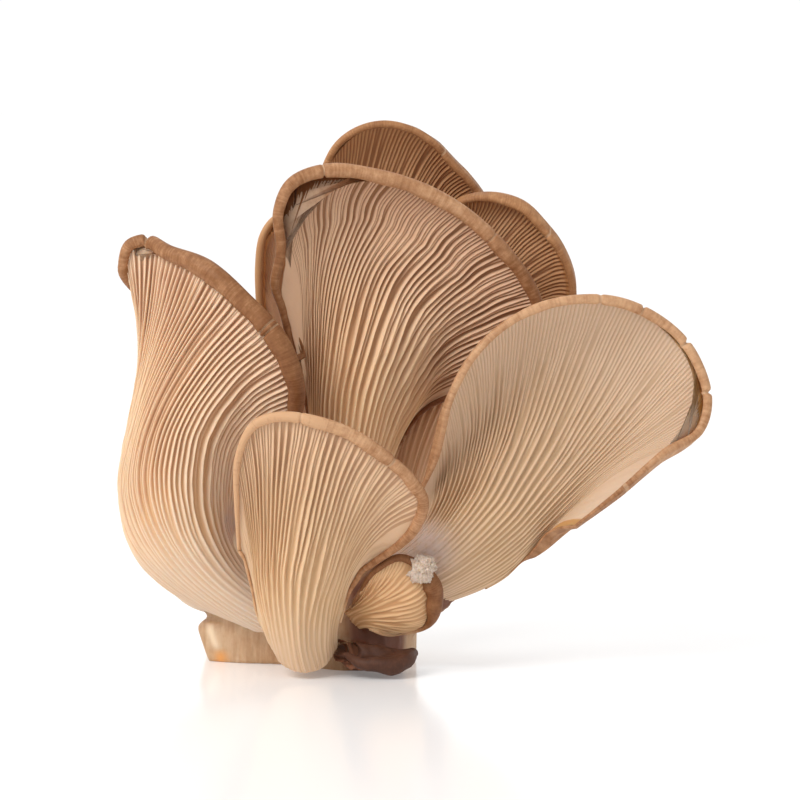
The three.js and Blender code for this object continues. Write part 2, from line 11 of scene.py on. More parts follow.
import bmesh
import bpy
import numpy as np
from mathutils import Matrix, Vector


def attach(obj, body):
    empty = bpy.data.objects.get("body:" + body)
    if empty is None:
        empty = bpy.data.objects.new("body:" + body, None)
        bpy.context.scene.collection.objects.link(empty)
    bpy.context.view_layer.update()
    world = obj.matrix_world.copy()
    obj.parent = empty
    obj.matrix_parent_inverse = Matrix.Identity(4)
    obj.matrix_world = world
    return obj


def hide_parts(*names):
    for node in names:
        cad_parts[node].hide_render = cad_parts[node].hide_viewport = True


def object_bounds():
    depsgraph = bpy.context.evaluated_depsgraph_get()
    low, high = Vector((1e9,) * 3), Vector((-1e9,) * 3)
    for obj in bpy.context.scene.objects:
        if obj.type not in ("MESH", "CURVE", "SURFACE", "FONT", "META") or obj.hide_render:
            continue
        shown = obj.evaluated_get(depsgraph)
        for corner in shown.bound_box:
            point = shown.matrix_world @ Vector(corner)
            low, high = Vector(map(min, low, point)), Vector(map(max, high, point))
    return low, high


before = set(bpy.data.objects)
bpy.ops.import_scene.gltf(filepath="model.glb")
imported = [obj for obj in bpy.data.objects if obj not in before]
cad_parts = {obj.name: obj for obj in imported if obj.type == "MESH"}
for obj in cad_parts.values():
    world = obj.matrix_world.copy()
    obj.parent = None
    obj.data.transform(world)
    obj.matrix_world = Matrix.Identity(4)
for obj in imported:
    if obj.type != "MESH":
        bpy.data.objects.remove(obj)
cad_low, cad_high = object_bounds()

MM = 0.001
size = (cad_high - cad_low) / MM
print(f"CAD box: {size.x:.1f} x {size.y:.1f} x {size.z:.1f} mm, {len(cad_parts)} nodes")

# %% [markdown]
# ## The sections
# A fan of gills is a curled sheet, so it is described by four sections across it, from its left side to
# its right side: at the foot, at the waist, in the middle of the fan and along the margin. They are the
# CAD model's own sections, in millimetres, so the fine pieces lie where the solids lie. A mesh could
# instead be sculpted by eye, but then caps and gills would no longer meet.
#
# `stem` is the depth of the stem, `flesh` the thickness of the cap, and `lip` the radius of the rolled
# margin from left to right. `gills` is the real number of gills that reach the margin, and `plain` the
# shares of the margin at its left and right end that no gill reaches. `skin` is the row where the cap starts.

# %% Sections of the four large fruit bodies
FRUIT_BODIES = {
    "front": dict(
        foot=[(-12, -19, 7), (-9, -25, 3.5), (-4, -28, 2.2), (1, -25, 3), (4.5, -19, 7)],
        waist=[(-15, -20, 14), (-12.5, -29, 20), (-5.5, -34, 23), (2, -30, 20.5), (5.8, -21, 14.5)],
        fan=[(-17.5, -24, 24.5), (-16, -30, 37), (-10.5, -35, 44), (-2.5, -38, 46), (6.5, -36, 42.5),
             (10.5, -30, 33.5), (8.8, -23, 22.5)],
        margin=[(-19.2, -26, 32), (-20.5, -31, 44), (-20, -36, 57), (-15.5, -39, 65.5), (-7, -40, 67.8),
                (6.5, -40, 64.5), (18.7, -38, 56.5), (27, -34, 46), (24.5, -31, 37), (13, -26, 27)],
        stem=14, flesh=4.4, lip=[0.4, 0.8, 1.4, 1.7, 1.5, 0.8],
        gills=78, plain=(0.18, 0.17), skin=0.26),
    "left": dict(
        foot=[(-23, 5, 11.5), (-18.5, -4, 9.5), (-14, -10, 9.5), (-12.5, -13, 14), (-13.5, -10, 19),
              (-15.5, -3, 23)],
        waist=[(-42, 16, 26), (-48.5, 5, 32), (-45.5, -9, 38), (-37.5, -18, 42), (-30, -17, 43),
               (-24, -10, 41.5), (-17.5, 2, 35)],
        fan=[(-41, 16, 60), (-46.5, 3, 63), (-42.5, -11, 69), (-33.5, -20, 72), (-24.5, -21, 70.5),
             (-17.5, -17, 63), (-15.5, -12, 56), (-17, -7, 49)],
        margin=[(-41, 12, 84), (-44.7, 3, 93), (-49.5, -3, 101), (-48, -5, 106.5), (-42.5, -5, 108.2),
                (-36.2, -11, 105.8), (-26, -18, 102.5), (-16.2, -22, 94.2), (-7.5, -24, 85),
                (-3, -23, 72.3), (-5, -19, 61), (-11, -13, 52)],
        stem=11, flesh=4.8, lip=[0.9, 1.2, 1.6, 2.5, 2.7, 2.6, 2, 0.8],
        gills=108, plain=(0.17, 0.05), skin=0.26),
    "centre": dict(
        foot=[(1, 4, 24), (4.5, -3, 22), (9.5, -4, 22), (14, 3, 24)],
        waist=[(-1.5, 3, 48), (-0.5, -4, 58), (3.5, -8, 65), (10, -9, 67), (15.8, -5, 63.5),
               (18.8, 1, 57), (18, 6, 49)],
        fan=[(-4, -3, 68), (-4.5, -5, 84), (0.5, -2, 97.5), (10, 1, 101), (20, 2, 97.5), (28.5, 4, 90),
             (33, 7, 80), (31, 9, 69), (26, 9, 62)],
        margin=[(-5.5, -3, 79), (-10, -8, 89.5), (-12, -11, 96), (-10.5, -11.5, 105), (-11.2, -11.5, 114.5),
                (-7.5, -11, 122), (2.5, -9, 125.5), (15, -7, 124), (27.5, -5, 120), (38.7, -3, 113.2),
                (48.2, -1, 103.7), (55.2, 1, 92.4), (56.2, 3, 82), (51, 6, 73), (42, 8, 67)],
        stem=12, flesh=4.8, lip=[0.6, 1.2, 1.5, 1.8, 1.9, 1.8, 1.4, 0.8],
        gills=108, plain=(0.27, 0.05), skin=0.26),
    "right": dict(
        foot=[(13.5, -3, 25), (14, -9, 24), (16.5, -12, 20), (17, -10, 15.5), (18, -4, 13)],
        waist=[(22.3, -11, 35), (30, -17, 38), (36, -19, 40), (42, -19, 38), (45.5, -17.5, 32.5),
               (45.5, -14.5, 26.5), (44, -10.5, 21.5)],
        fan=[(25, -12.5, 39.5), (32.5, -12, 50), (42, -10, 60), (53, -9, 64.5), (64, -8.5, 62),
             (69, -9.5, 54.5), (65, -12.5, 44), (54, -15, 31.5)],
        margin=[(24.3, -13.5, 45), (28.5, -16.5, 54), (31.5, -18, 68), (37, -19, 78.7), (46.2, -19, 87.7),
                (57.5, -18, 93), (71.2, -16, 94), (82.5, -14, 89.7), (92.5, -13, 81), (97.2, -14, 69),
                (95, -17, 60.5), (86.2, -21, 55.5), (75, -23, 46), (63, -21, 36.5)],
        stem=11, flesh=4.6, lip=[0.6, 0.9, 1.1, 1.3, 1.3, 1, 0.35],
        gills=108, plain=(0.05, 0.22), skin=0.26),
}

# %% Sections of the five smaller fruit bodies
FRUIT_BODIES.update({
    "top": dict(
        foot=[(4, 18, 20), (6, 13, 21), (11, 12, 21), (14, 17, 20)],
        waist=[(4.5, 25, 64), (7.5, 20, 74), (13.5, 19, 78), (19, 21, 74), (21.5, 26, 64)],
        fan=[(3, 26, 94), (5, 25, 107), (13.5, 25, 113), (23.5, 27, 112), (30, 30, 104), (29, 32, 92)],
        margin=[(1, 23, 106), (-1, 21, 118), (2.5, 18, 128.5), (9.5, 17, 133.7), (17, 17, 135),
                (26.2, 18, 132), (33.7, 20, 125), (42.5, 24, 114.5), (46, 28, 105), (42, 32, 97)],
        stem=9, flesh=4, lip=[0.7, 0.9, 0.9, 1, 0.9, 0.7],
        gills=60, plain=(0.22, 0.08), skin=0.32),
    "back_right": dict(
        foot=[(17, 8, 21), (19, 4, 22.5), (22.5, 4, 22.5), (25, 8, 21)],
        waist=[(19.5, 17, 52), (21.2, 13, 58.5), (25, 12, 61), (28.8, 13, 58.5), (31, 17, 52)],
        fan=[(27, 22, 88), (32, 19, 96.5), (39.5, 18, 99), (46.2, 18, 93), (48, 20, 84), (45, 23, 75.5)],
        margin=[(30, 18, 104), (34.5, 14, 114.5), (42.5, 12, 116), (51.2, 11, 113), (58, 11, 106),
                (62.7, 12, 98.5), (64.5, 14, 90.5), (63, 17, 80.5), (57, 20, 73)],
        stem=8, flesh=3.8, lip=[0.7, 0.9, 0.9, 0.9, 0.7],
        gills=54, plain=(0.05, 0.1), skin=0.32),
    "back_left": dict(
        foot=[(-5, 14, 18), (-3, 10, 19), (1, 10, 19), (3, 14, 18)],
        waist=[(-6.5, 16, 52), (-5, 13.5, 57), (-2, 13.5, 58), (0, 16, 56)],
        fan=[(-9.5, 15, 70), (-10, 14, 80), (-9, 14, 90), (-6, 14, 94), (-2.5, 14.5, 93), (-0.5, 15, 88)],
        margin=[(-14, 13, 76), (-16.2, 12, 88), (-16.5, 11, 99), (-15.3, 10.5, 107), (-11, 11, 112),
                (-4.5, 12, 111), (1.5, 13, 107)],
        stem=7, flesh=3, lip=[0.5, 1, 1.1, 0.9, 0.3],
        gills=24, plain=(0.4, 0.05), skin=0.32),
    "small_side": dict(
        foot=[(5, -9, 13.5), (7, -13, 13.5), (8.5, -14, 11.5), (8, -11, 9.5)],
        waist=[(7.5, -16, 16.5), (10, -19, 17.5), (13, -21, 15.5), (12.5, -18, 10.8)],
        fan=[(8.5, -19, 18.5), (12.5, -23, 22), (18, -25, 22.5), (21, -25, 18.5), (20, -22, 13.3),
             (15.5, -18, 9.8)],
        margin=[(9.5, -21, 21), (13.5, -25, 27.3), (19.5, -26, 31), (25, -25, 29), (29.5, -23, 23.3),
                (29.5, -21, 16), (27, -19, 12), (20, -17, 9.8)],
        stem=4, flesh=3.4, lip=[0.5, 0.7, 0.9, 1.2, 2.4, 2, 0.6, 0.4],
        gills=42, plain=(0.05, 0.05), skin=0.32),
    "small_low": dict(
        foot=[(2, -11, 6.5), (4, -13, 4.5), (7, -13, 3.5), (9, -10, 3.5)],
        waist=[(3.5, -18, 5.6), (7, -22.5, 3.7), (11, -22.5, 3), (14, -15, 2.5)],
        fan=[(5.5, -21.5, 5.8), (10, -26, 4.2), (15.5, -26, 3.6), (19, -17, 3.2)],
        margin=[(7, -23, 6.2), (12.5, -28, 5.2), (18.5, -27.5, 5.4), (22.5, -24, 6), (24, -17, 6)],
        stem=4, flesh=5, lip=[0.8, 1.6, 2.4, 2.2, 1.2],
        gills=30, plain=(0.05, 0.05), skin=0.32),
})
gill_total = sum(body["gills"] for body in FRUIT_BODIES.values())
print(f"{len(FRUIT_BODIES)} fruit bodies, {gill_total} gills at the margins")

# %% [markdown]
# ## A curve through each section
# A section is a smooth curve through its points. A centripetal curve is used because it makes no loops
# where points stand close together. It is stored as a table of evenly spaced points, so reading a place
# on it is one step of interpolation, for a whole array of places at once.

# %% Centripetal curve as an evenly spaced table
SPAN_STEPS = 60  # points that are worked out between two given ones
TABLE = 1200  # steps of the evenly spaced table


def smooth(x, low, high):
    share = np.clip((x - low) / (high - low), 0, 1)
    return share * share * (3 - 2 * share)


def mix(first, second, share):
    return first + (second - first) * share


def read_evenly(values, share):
    """The value at each share of the way along a list of evenly spaced values."""
    return np.interp(share, np.linspace(0, 1, len(values)), values)


def evenly_spaced(points):
    p = np.array(points, float)
    p = np.vstack([2 * p[0] - p[1], p, 2 * p[-1] - p[-2]])
    curve = []
    for p0, p1, p2, p3 in zip(p[:-3], p[1:-2], p[2:-1], p[3:]):
        d0, d1, d2 = (np.linalg.norm(b - a) ** 0.5 for a, b in ((p0, p1), (p1, p2), (p2, p3)))
        m1 = ((p1 - p0) / d0 - (p2 - p0) / (d0 + d1) + (p2 - p1) / d1) * d1
        m2 = ((p2 - p1) / d1 - (p3 - p1) / (d1 + d2) + (p3 - p2) / d2) * d1
        w = np.linspace(0, 1, SPAN_STEPS, endpoint=False)[:, None]
        curve.append(p1 + m1 * w + (3 * (p2 - p1) - 2 * m1 - m2) * w**2 + (2 * (p1 - p2) + m1 + m2) * w**3)
    curve = np.vstack([*curve, p[-2:-1]])
    length = np.concatenate([[0], np.cumsum(np.linalg.norm(np.diff(curve, axis=0), axis=1))])
    even = np.linspace(0, length[-1], TABLE + 1)
    return np.stack([np.interp(even, length, curve[:, axis]) for axis in range(3)], -1)


# %% [markdown]
# ## Smooth chance
# Nothing that grew is even. A coarse grid of random numbers, read smoothly in between, bends the gills,
# waves the fans and thickens the margins. Each fruit body has its own seed, so that the script gives the
# same cluster every time.

# %% Smooth random field
def random_field(rng, across, along):
    values = rng.uniform(-1, 1, (across + 2, along + 2))

    def field(x, y):
        px, py = np.broadcast_arrays(np.clip(x, 0, 1) * across, np.clip(y, 0, 1) * along)
        i, j = px.astype(int), py.astype(int)
        fx, fy = smooth(px - i, 0, 1), smooth(py - j, 0, 1)
        low = mix(values[i, j], values[i + 1, j], fx)
        return mix(low, mix(values[i, j + 1], values[i + 1, j + 1], fx), fy)

    return field


# %% [markdown]
# ## The gilled face
# The face runs `s` across and `t` up the gills, both from 0 to 1. Between the four sections it follows
# the cubic that passes through them. The rolled margin takes a strip beside both sides and below the
# margin, and `place` gives where column `a` and row `b` of the remaining face lie.

# %% The face of one fruit body
PROBE = 0.004  # step for measuring slopes, as a share of the face
LIP_START = 0.3  # radius of the roll where it runs out on the stem, in mm
LIP_SWELL = 0.09  # how much chance thickens or thins the roll, as a share of its radius
MOST_INSET = 0.5  # the largest share of the rows that the roll takes
MOST_SIDE_INSET = 0.04  # the largest share of the columns that it takes at either side
STEM_EDGE = 0.6  # least depth of stem and cap, in mm
MARGIN_THIN = 1.7  # least thickness of the cap towards its margin, in mm
GILL_PLATE = 1.1  # thickness of the flesh that carries the gills, in mm, and half of it at the margin
PLATE_GAP = 0.3  # between that flesh and the cap's own, in mm
SKIN_START = 0.6  # thickness of the cap where it starts on the stem, in mm
SKIN_LEAST = 0.25  # least thickness of the cap, in mm
PLAIN_WIDENS = (0.12, 1)  # rows between which the plain strips beside the gills widen
PLAIN_CURVE = 1.3  # above 1 they widen slowly at first
PLAIN_LEAST = 0.05  # least width of a plain strip, as a share of the face
WAVE = 0.45  # how far a fan waves out of its smooth shape, in mm
LIVELY_MM = 100  # a margin that is shorter than this waves, swells and wrinkles less
FIRST_SEED = 11


def unit(vectors):
    return vectors / np.maximum(np.linalg.norm(vectors, axis=-1, keepdims=True), 1e-12)


class GilledFace:
    def __init__(self, name, body, seed):
        self.name, self.body = name, body
        self.tables = [evenly_spaced(body[row]) for row in ("foot", "waist", "fan", "margin")]
        self.margin_mm = np.linalg.norm(np.diff(self.tables[3], axis=0), axis=1).sum()
        self.liveliness = min(1, self.margin_mm / LIVELY_MM)
        self.rng = np.random.default_rng(seed)
        self.waves = random_field(self.rng, 9, 5)
        self.swells = random_field(self.rng, 26, 1)

    def smooth_point(self, s, t):
        s, t = np.broadcast_arrays(np.clip(s, 0, 1), t)
        u = 3 * t
        weights = ((u - 1) * (u - 2) * (u - 3) / -6, u * (u - 2) * (u - 3) / 2,
                   u * (u - 1) * (u - 3) / -2, u * (u - 1) * (u - 2) / 6)
        k = np.minimum((s * TABLE).astype(int), TABLE - 1)
        part = (s * TABLE - k)[..., None]
        return sum(w[..., None] * mix(table[k], table[k + 1], part) for w, table in zip(weights, self.tables))

    def across(self, s, t):
        low, high = np.maximum(s - PROBE, 0), np.minimum(s + PROBE, 1)
        return (self.smooth_point(high, t) - self.smooth_point(low, t)) / (high - low)[..., None]

    def up(self, s, t):
        low, high = np.maximum(t - PROBE, 0), np.minimum(t + PROBE, 1)
        return (self.smooth_point(s, high) - self.smooth_point(s, low)) / (high - low)[..., None]

    def normal(self, s, t):
        s, t = np.broadcast_arrays(np.asarray(s, float), np.asarray(t, float))
        return unit(np.cross(self.across(s, t), self.up(s, t)))

    def point(self, s, t):
        wave = WAVE * self.liveliness * self.waves(s, t) * smooth(t, 0.2, 0.6)
        return self.smooth_point(s, t) + self.normal(s, t) * wave[..., None]

    def lip(self, s):
        swell = 1 + LIP_SWELL * self.liveliness * self.swells(s, 0)
        return read_evenly(self.body["lip"], s) * swell

    def lip_beside(self, end, b):
        return mix(LIP_START, self.lip(np.full_like(b, end)), smooth(b, self.body["skin"], 1))

    def share_beside(self, end, b, width):
        """The share of the columns that a strip of this width in mm takes beside an end."""
        ends = np.full_like(b, end)
        up = self.up(ends, b)
        reach = np.linalg.norm(np.cross(self.across(ends, b), up), axis=-1) / np.linalg.norm(up, axis=-1)
        return MOST_SIDE_INSET * np.tanh(width / reach / MOST_SIDE_INSET)

    def share_below(self, s, width):
        """The share of the rows that a strip of this width in mm takes below the margin."""
        top = np.ones_like(s)
        across = self.across(s, top)
        reach = np.linalg.norm(np.cross(self.up(s, top), across), axis=-1) / np.linalg.norm(across, axis=-1)
        return np.minimum(width / reach, MOST_INSET)

    def place(self, a, b, roll=2.0):
        a, b = np.broadcast_arrays(np.asarray(a, float), np.asarray(b, float))
        inset = smooth(b, 0, self.body["skin"])
        left = inset * self.share_beside(0, b, roll * self.lip_beside(0, b))
        right = inset * self.share_beside(1, b, roll * self.lip_beside(1, b))
        s = left + a * (1 - left - right)
        return s, b * (1 - self.share_below(s, roll * self.lip(s)))

    def gill_column(self, q, b):
        least = PLAIN_LEAST * smooth(b, 0, PLAIN_WIDENS[0])
        low, high = PLAIN_WIDENS
        widening = np.clip((b - low) / (high - low), 0, 1) ** PLAIN_CURVE
        left, right = (np.maximum(least, share * widening) for share in self.body["plain"])
        return left + q * (1 - left - right)  # q runs from 0 to 1 over the gills alone

    def spread(self, b):
        """0 in the round stem and 1 in the flat fan."""
        return smooth(b, 0.05, self.body["skin"] + 0.2)

    def depth(self, a, b):
        side = np.abs(2 * a - 1)
        stem = self.body["stem"] * np.sqrt(np.maximum(0, 1 - side * side))
        thin = np.maximum(MARGIN_THIN, 0.9 * self.lip(a))
        inward = np.sqrt(np.minimum(1, (1 - b) / 0.3)) * (1 - side**5)
        cap = mix(thin, self.body["flesh"], inward)
        return np.maximum(STEM_EDGE, mix(stem, cap, self.spread(b)))

    def cap_flesh(self, a, b):
        start = self.body["skin"]
        full = self.depth(a, b) - GILL_PLATE * mix(1, 0.5, smooth(b, 0.8, 1)) - PLATE_GAP
        return np.maximum(SKIN_LEAST, mix(np.minimum(SKIN_START, full), full, smooth(b, start, start + 0.3)))

    def backward(self, s, t, b):
        own = self.normal(s, t)
        spine = self.normal(np.full_like(s, 0.5), t)
        return -unit(mix(spine, own, self.spread(b)[..., None]))


FACES = {name: GilledFace(name, body, seed)
         for seed, (name, body) in enumerate(FRUIT_BODIES.items(), start=FIRST_SEED)}
for name, face in FACES.items():
    print(f"{name}: margin {face.margin_mm:.0f} mm, gills {face.margin_mm / face.body['gills']:.2f} mm apart")

# %% [markdown]
# ## Sheets
# Every piece starts as a flat grid, the primitive that is closest to a sheet. Its columns and rows are
# then moved to their places on the face. A grid's vertices are numbered along x first, so an array of
# the same shape holds their new places.

# %% Grid primitive and vertex helpers
WELD_M = 1e-6  # vertices closer than this are one, in metres


def flat_grid(name, columns, rows):
    if bpy.context.object and bpy.context.object.mode != "OBJECT":
        bpy.ops.object.mode_set(mode="OBJECT")
    bpy.ops.object.select_all(action="DESELECT")
    bpy.ops.mesh.primitive_grid_add(x_subdivisions=columns, y_subdivisions=rows, size=1)
    sheet = bpy.context.object
    sheet.name = sheet.data.name = name
    return sheet


def move_vertices(piece, places_mm):
    piece.data.vertices.foreach_set("co", (places_mm.reshape(-1, 3) * MM).astype(np.float32).ravel())
    piece.data.update()


def vertex_places(piece):
    flat = np.empty(len(piece.data.vertices) * 3, np.float32)
    piece.data.vertices.foreach_get("co", flat)
    return flat.reshape(-1, 3)


def paint(piece, name, values):
    attribute = piece.data.attributes.new(name, "FLOAT", "POINT")
    attribute.data.foreach_set("value", np.asarray(values, np.float32).ravel())


def join(main, others):
    bpy.ops.object.select_all(action="DESELECT")
    for piece in (main, *others):
        piece.select_set(True)
    bpy.context.view_layer.objects.active = main
    bpy.ops.object.join()


def weld(piece):
    bpy.ops.object.mode_set(mode="EDIT")
    bpy.ops.mesh.select_all(action="SELECT")
    bpy.ops.mesh.remove_doubles(threshold=WELD_M)
    bpy.ops.mesh.normals_make_consistent(inside=False)
    bpy.ops.object.mode_set(mode="OBJECT")
    bpy.ops.object.shade_smooth()


def report(piece):
    piece.data.calc_loop_triangles()
    mesh = bmesh.new()
    mesh.from_mesh(piece.data)
    volume = mesh.calc_volume(signed=True) / MM**3
    holes = sum(not edge.is_manifold for edge in mesh.edges)
    mesh.free()
    print(f"{piece.name}: {len(piece.data.loop_triangles)} triangles, {volume:.0f} mm3, {holes} open edges")


# %% [markdown]
# ## The gills
# The gills are thin blades, about 1 mm apart where they meet the margin. Only every eighth runs all the
# way down the stem, as a low soft ridge. Where the fan widens, shorter ones start between them, three
# times over. Separate blades would be thousands of pieces, so they are relief: five columns of the sheet
# stand on each gill, and a formula raises them. A blade has a narrow crest on a broad foot.
#
# `crest` keeps how far up a blade a point is, for the colour. `RELIEF` says how sharply the gills stand
# out from left to right.

# %% Where a short gill starts, and how high a gill stands
BLADE = np.array([-0.5, -0.26, -0.07, 0.07, 0.26])  # columns on one gill, in gaps between gills
STARTS = {4: (0.2, 0.32), 2: (0.5, 0.68), 1: (0.76, 0.96)}  # gaps in mm where the shorter gills start
GILL_ORDER = ((2, 1), (4, 2), (8, 4), (8, 0))  # every how many gills one is this long, and the first of them
GILL_HEIGHT = 1.5  # the most that a gill stands out, in mm
STEEPNESS = 0.85  # height of a gill as a share of the gap to the next one
VIGOUR = (0.75, 1.1)  # chance makes a gill this much lower or higher
EARLY = (0.8, 1.22)  # and lets it start this much later or earlier
RAGGED = 0.16  # how uneven a crest is, as a share of its height
CREST_MM = (0.07, 0.5)  # half the width of a crest at its top and at its foot
RELIEF = {
    "front": [0.4, 0.7, 0.75, 0.5, 0.25], "centre": [0.4, 0.75, 1, 1, 0.9], "left": [0.8, 1, 1, 0.9, 0.6],
    "right": [0.8, 0.75, 0.45, 0.25, 0.2], "top": [0.1, 0.5, 0.8], "back_right": [0.6, 0.4],
    "back_left": [0.2, 0.2], "small_side": [0.3, 0.2]}
STEM_RELIEF = 0.3  # how much of the relief reaches down the stem
SMOOTH_STEM = {"top": 0.03, "back_right": 0.03}  # the stems where less of it does


def nearest_gill(u, every, first, count):
    k = np.round((u - 0.5 - first) / every) * every + first
    last = first + every * ((count - 1 - first) // every)
    k = np.clip(k, first, last).astype(int)
    return k, np.abs(u - k - 0.5)


def gill_relief(face, u, q, b, gap):
    """Height in mm and share of the way up a blade, for columns at u gaps and rows at b."""
    count, rng = face.body["gills"], face.rng
    vigour = rng.uniform(*VIGOUR, count)
    early = rng.uniform(*EARLY, count)
    ragged = random_field(rng, count, 26)
    fan = smooth(b, 0.08, 0.5)
    width = np.full_like(gap, 0.5)  # half the way from a gill to the next one of any length, in gaps
    height, crest = 0, 0
    for step, first in GILL_ORDER:
        k, distance = nearest_gill(u, step, first, count)
        starts = STARTS.get(first)
        here = smooth(gap * early[k], *starts) if starts else 1
        crest_foot = np.minimum(CREST_MM[1], 0.8 * width * gap)
        sharp = (1 - smooth(distance * gap, CREST_MM[0], crest_foot)) * mix(0.25, 1, fan)
        broad = 1 - smooth(distance / width, 0, 1)
        shape = mix(broad, sharp, mix(0.45, 0.62, fan)) * here
        rise = np.minimum(GILL_HEIGHT, STEEPNESS * 2 * width * gap) * vigour[k]
        height = np.maximum(height, rise * shape)
        crest = np.maximum(crest, shape)
        if starts:
            width = mix(first * 1.0, width, smooth(gap, *starts))
    contrast = read_evenly(RELIEF.get(face.name, [1, 1]), q)
    stem = SMOOTH_STEM.get(face.name, STEM_RELIEF)
    taper = (1 - np.abs(2 * q - 1) ** 14) * mix(1, 0.45, smooth(b, 0.94, 1))
    taper = taper * mix(stem, 1, smooth(b, 0.06, 0.5))
    return height * (1 + RAGGED * ragged(u / count, b)) * taper * contrast, crest


# %% [markdown]
# ## Mycelium over the gills
# Where fruit bodies touch, white mycelium has grown over the gills. It is a soft mask round a few points
# of the real cluster: inside it the gills are lower and the flesh turns pale and greyish.

# %% Places with mycelium, in mm
FUZZ_SPOTS = {"right": [((27, -16, 31), 8), ((20, -12, 23), 9)], "left": [((-21, -6, 36), 6.5)]}
FUZZ_EDGE = (0.35, 1.25)  # the mask fades between these shares of a spot's radius


def fuzz_at(name, places):
    mask = np.zeros(places.shape[:-1])
    for centre, radius in FUZZ_SPOTS.get(name, []):
        distance = np.linalg.norm(places - np.array(centre), axis=-1)
        mask = np.maximum(mask, 1 - smooth(distance, FUZZ_EDGE[0] * radius, FUZZ_EDGE[1] * radius))
    return mask


print(f"mycelium on {len(FUZZ_SPOTS)} fruit bodies")

# %% [markdown]
# ## From gilled sheet to closed stem
# Two sheets make one closed piece. The front sheet carries the gills, and the plain back sheet is the
# stem's round back, which runs on under the cap as the flesh that the gills stand on. The sheets share
# their side edges. Below the foot both are drawn in to one point, so the stem ends round, and along the
# margin, hidden in the roll, a strip of triangles joins them. Plain strips, without gills, lie beside the
# gills and take their own columns.

# %% Columns and rows of the gilled sheet
PLAIN_COLUMNS = 34  # columns of the sheet in each plain strip beside the gills
SWAY = 0.45  # how far gills bend from their straight course together, in gaps
WANDER = 0.3  # and how far a few neighbours do


def gilled_columns(face, rows):
    """Gill place u, share q across the gills, column a and row b of every vertex of the front sheet."""
    count = face.body["gills"]
    u = np.append((np.arange(count)[:, None] + 0.5 + BLADE).ravel(), count)[None, :]
    b = np.linspace(0, 1, rows + 1)[:, None]
    sway = random_field(face.rng, 10, 5)
    wander = random_field(face.rng, count // 4, 12)
    room = np.sin(np.pi * np.clip(u / count, 0, 1)) ** 0.5
    shift = (SWAY * sway(u / count, b) + WANDER * wander(u / count, b)) * room * (1 - 0.6 * b)
    q = np.clip((u + shift) / count, 0, 1)
    share = np.linspace(0, 1, PLAIN_COLUMNS, endpoint=False)[None, :]
    left, right = face.gill_column(0, b), face.gill_column(1, b)
    a = np.hstack([left * share, face.gill_column(q, b), 1 - (1 - right) * share[:, ::-1]])
    none, full = np.zeros((rows + 1, PLAIN_COLUMNS)), np.ones((rows + 1, PLAIN_COLUMNS))
    u = np.hstack([none, np.broadcast_to(u, q.shape), full * count])
    return u, np.hstack([none, q, full]), a, np.broadcast_to(b, a.shape)


# %% Brown skin that reaches in over the gilled side, and painted shade under the centre's roll
SKIN_BANDS = {  # width in mm over the left, the upper and the right edge
    "front": (0.4, 0.3, 1.2), "left": (0.3, 0.3, 0.3), "centre": (0.4, 0.4, 0.5), "right": (0.3, 0.4, 4),
    "top": (6, 1.2, 3.5), "back_right": (1, 3, 5), "back_left": (3.6, 3, 0.3), "small_side": (0.3, 0.5, 0.3),
    "small_low": (0.5, 1, 0.5)}
UPPER_BANDS = {"centre": [3.4] * 3 + [1.4] + [0.4] * 6}  # upper widths that change from left to right; the centre's wide band at the upper left is partly its skin curling in and partly painted shade under the roll
BAND_FADES = 0.55  # a band fades from this share of its width on


def skin_near_margin(face, a, b, s, t):
    """1 where the brown skin of the rolled margin reaches in over the gilled side, which at the centre's
    upper left is partly painted shade under the roll.
    """
    left_mm, top_mm, right_mm = SKIN_BANDS[face.name]
    top_mm = read_evenly(UPPER_BANDS.get(face.name, [top_mm, top_mm]), a)
    across = np.linalg.norm(face.across(s, t), axis=-1)
    up = np.linalg.norm(face.up(s, t), axis=-1)
    fan = smooth(b, 0.35, 0.6)
    above, *beside = (1 - smooth(distance, BAND_FADES * width, width) for distance, width in (
        ((1 - b) * up, top_mm), (a * across, left_mm), ((1 - a) * across, right_mm)))
    return np.maximum(above, np.maximum(*beside) * fan)


# %% The gilled sheet in front
SHEET_ROLL = 1.5  # the sheets end this many radii of the roll inside the edge, so the roll hides their end
PLAIN_TONE = 0.6  # the strip is as pale as a gill is at this share of its height
PLAIN_RELIEF = 0.07  # how uneven the plain strip is, in mm
LEAN = 0.4  # how far the blades lean to the right, as a share of their height
FUZZ_FLATTENS = 0.75  # how much of a gill's height mycelium hides


def gilled_sheet(face, rows):
    """Places of the sheet's vertices, and the values that its colours follow."""
    u, q, a, b = gilled_columns(face, rows)
    s, t = face.place(a, b, SHEET_ROLL)
    gilled_share = face.gill_column(1, b) - face.gill_column(0, b)
    gap = np.linalg.norm(face.across(s, t), axis=-1) * gilled_share / face.body["gills"]
    height, crest = gill_relief(face, u, q, b, gap)
    plain = (a < face.gill_column(0, b)) | (a > face.gill_column(1, b))
    crest = np.where(plain, PLAIN_TONE, crest)
    height = height + PLAIN_RELIEF * plain * random_field(face.rng, 90, 4)(a, b) * smooth(b, 0.2, 0.5)
    hidden = fuzz_at(face.name, face.point(s, t))
    fine_fibres, broad_fibres = random_field(face.rng, 90, 5), random_field(face.rng, 16, 6)
    fibres = 0.1 * fine_fibres(a, b) + 0.25 * broad_fibres(a, b) * smooth(b, 0, 0.3)
    height = height * (1 - FUZZ_FLATTENS * hidden) + fibres
    lean = LEAN * mix(0.3, 1, smooth(b, 0.1, 0.5)) + 0.1 * random_field(face.rng, 10, 4)(a, b)
    side = unit(face.across(s, t))
    places = face.point(s, t) + (face.normal(s, t) + side * lean[..., None]) * height[..., None]
    skin = skin_near_margin(face, a, b, s, t)
    return places, dict(across=a, along=b, crest=crest, fuzz=hidden, skin=skin)


# %% The round back
BACK_COLUMNS = 36
BACK_FIBRES = 0.16  # how far its fibres stand out, in mm
BACK_TONE = 0.8  # the back is as pale as a gill is at this share of its height


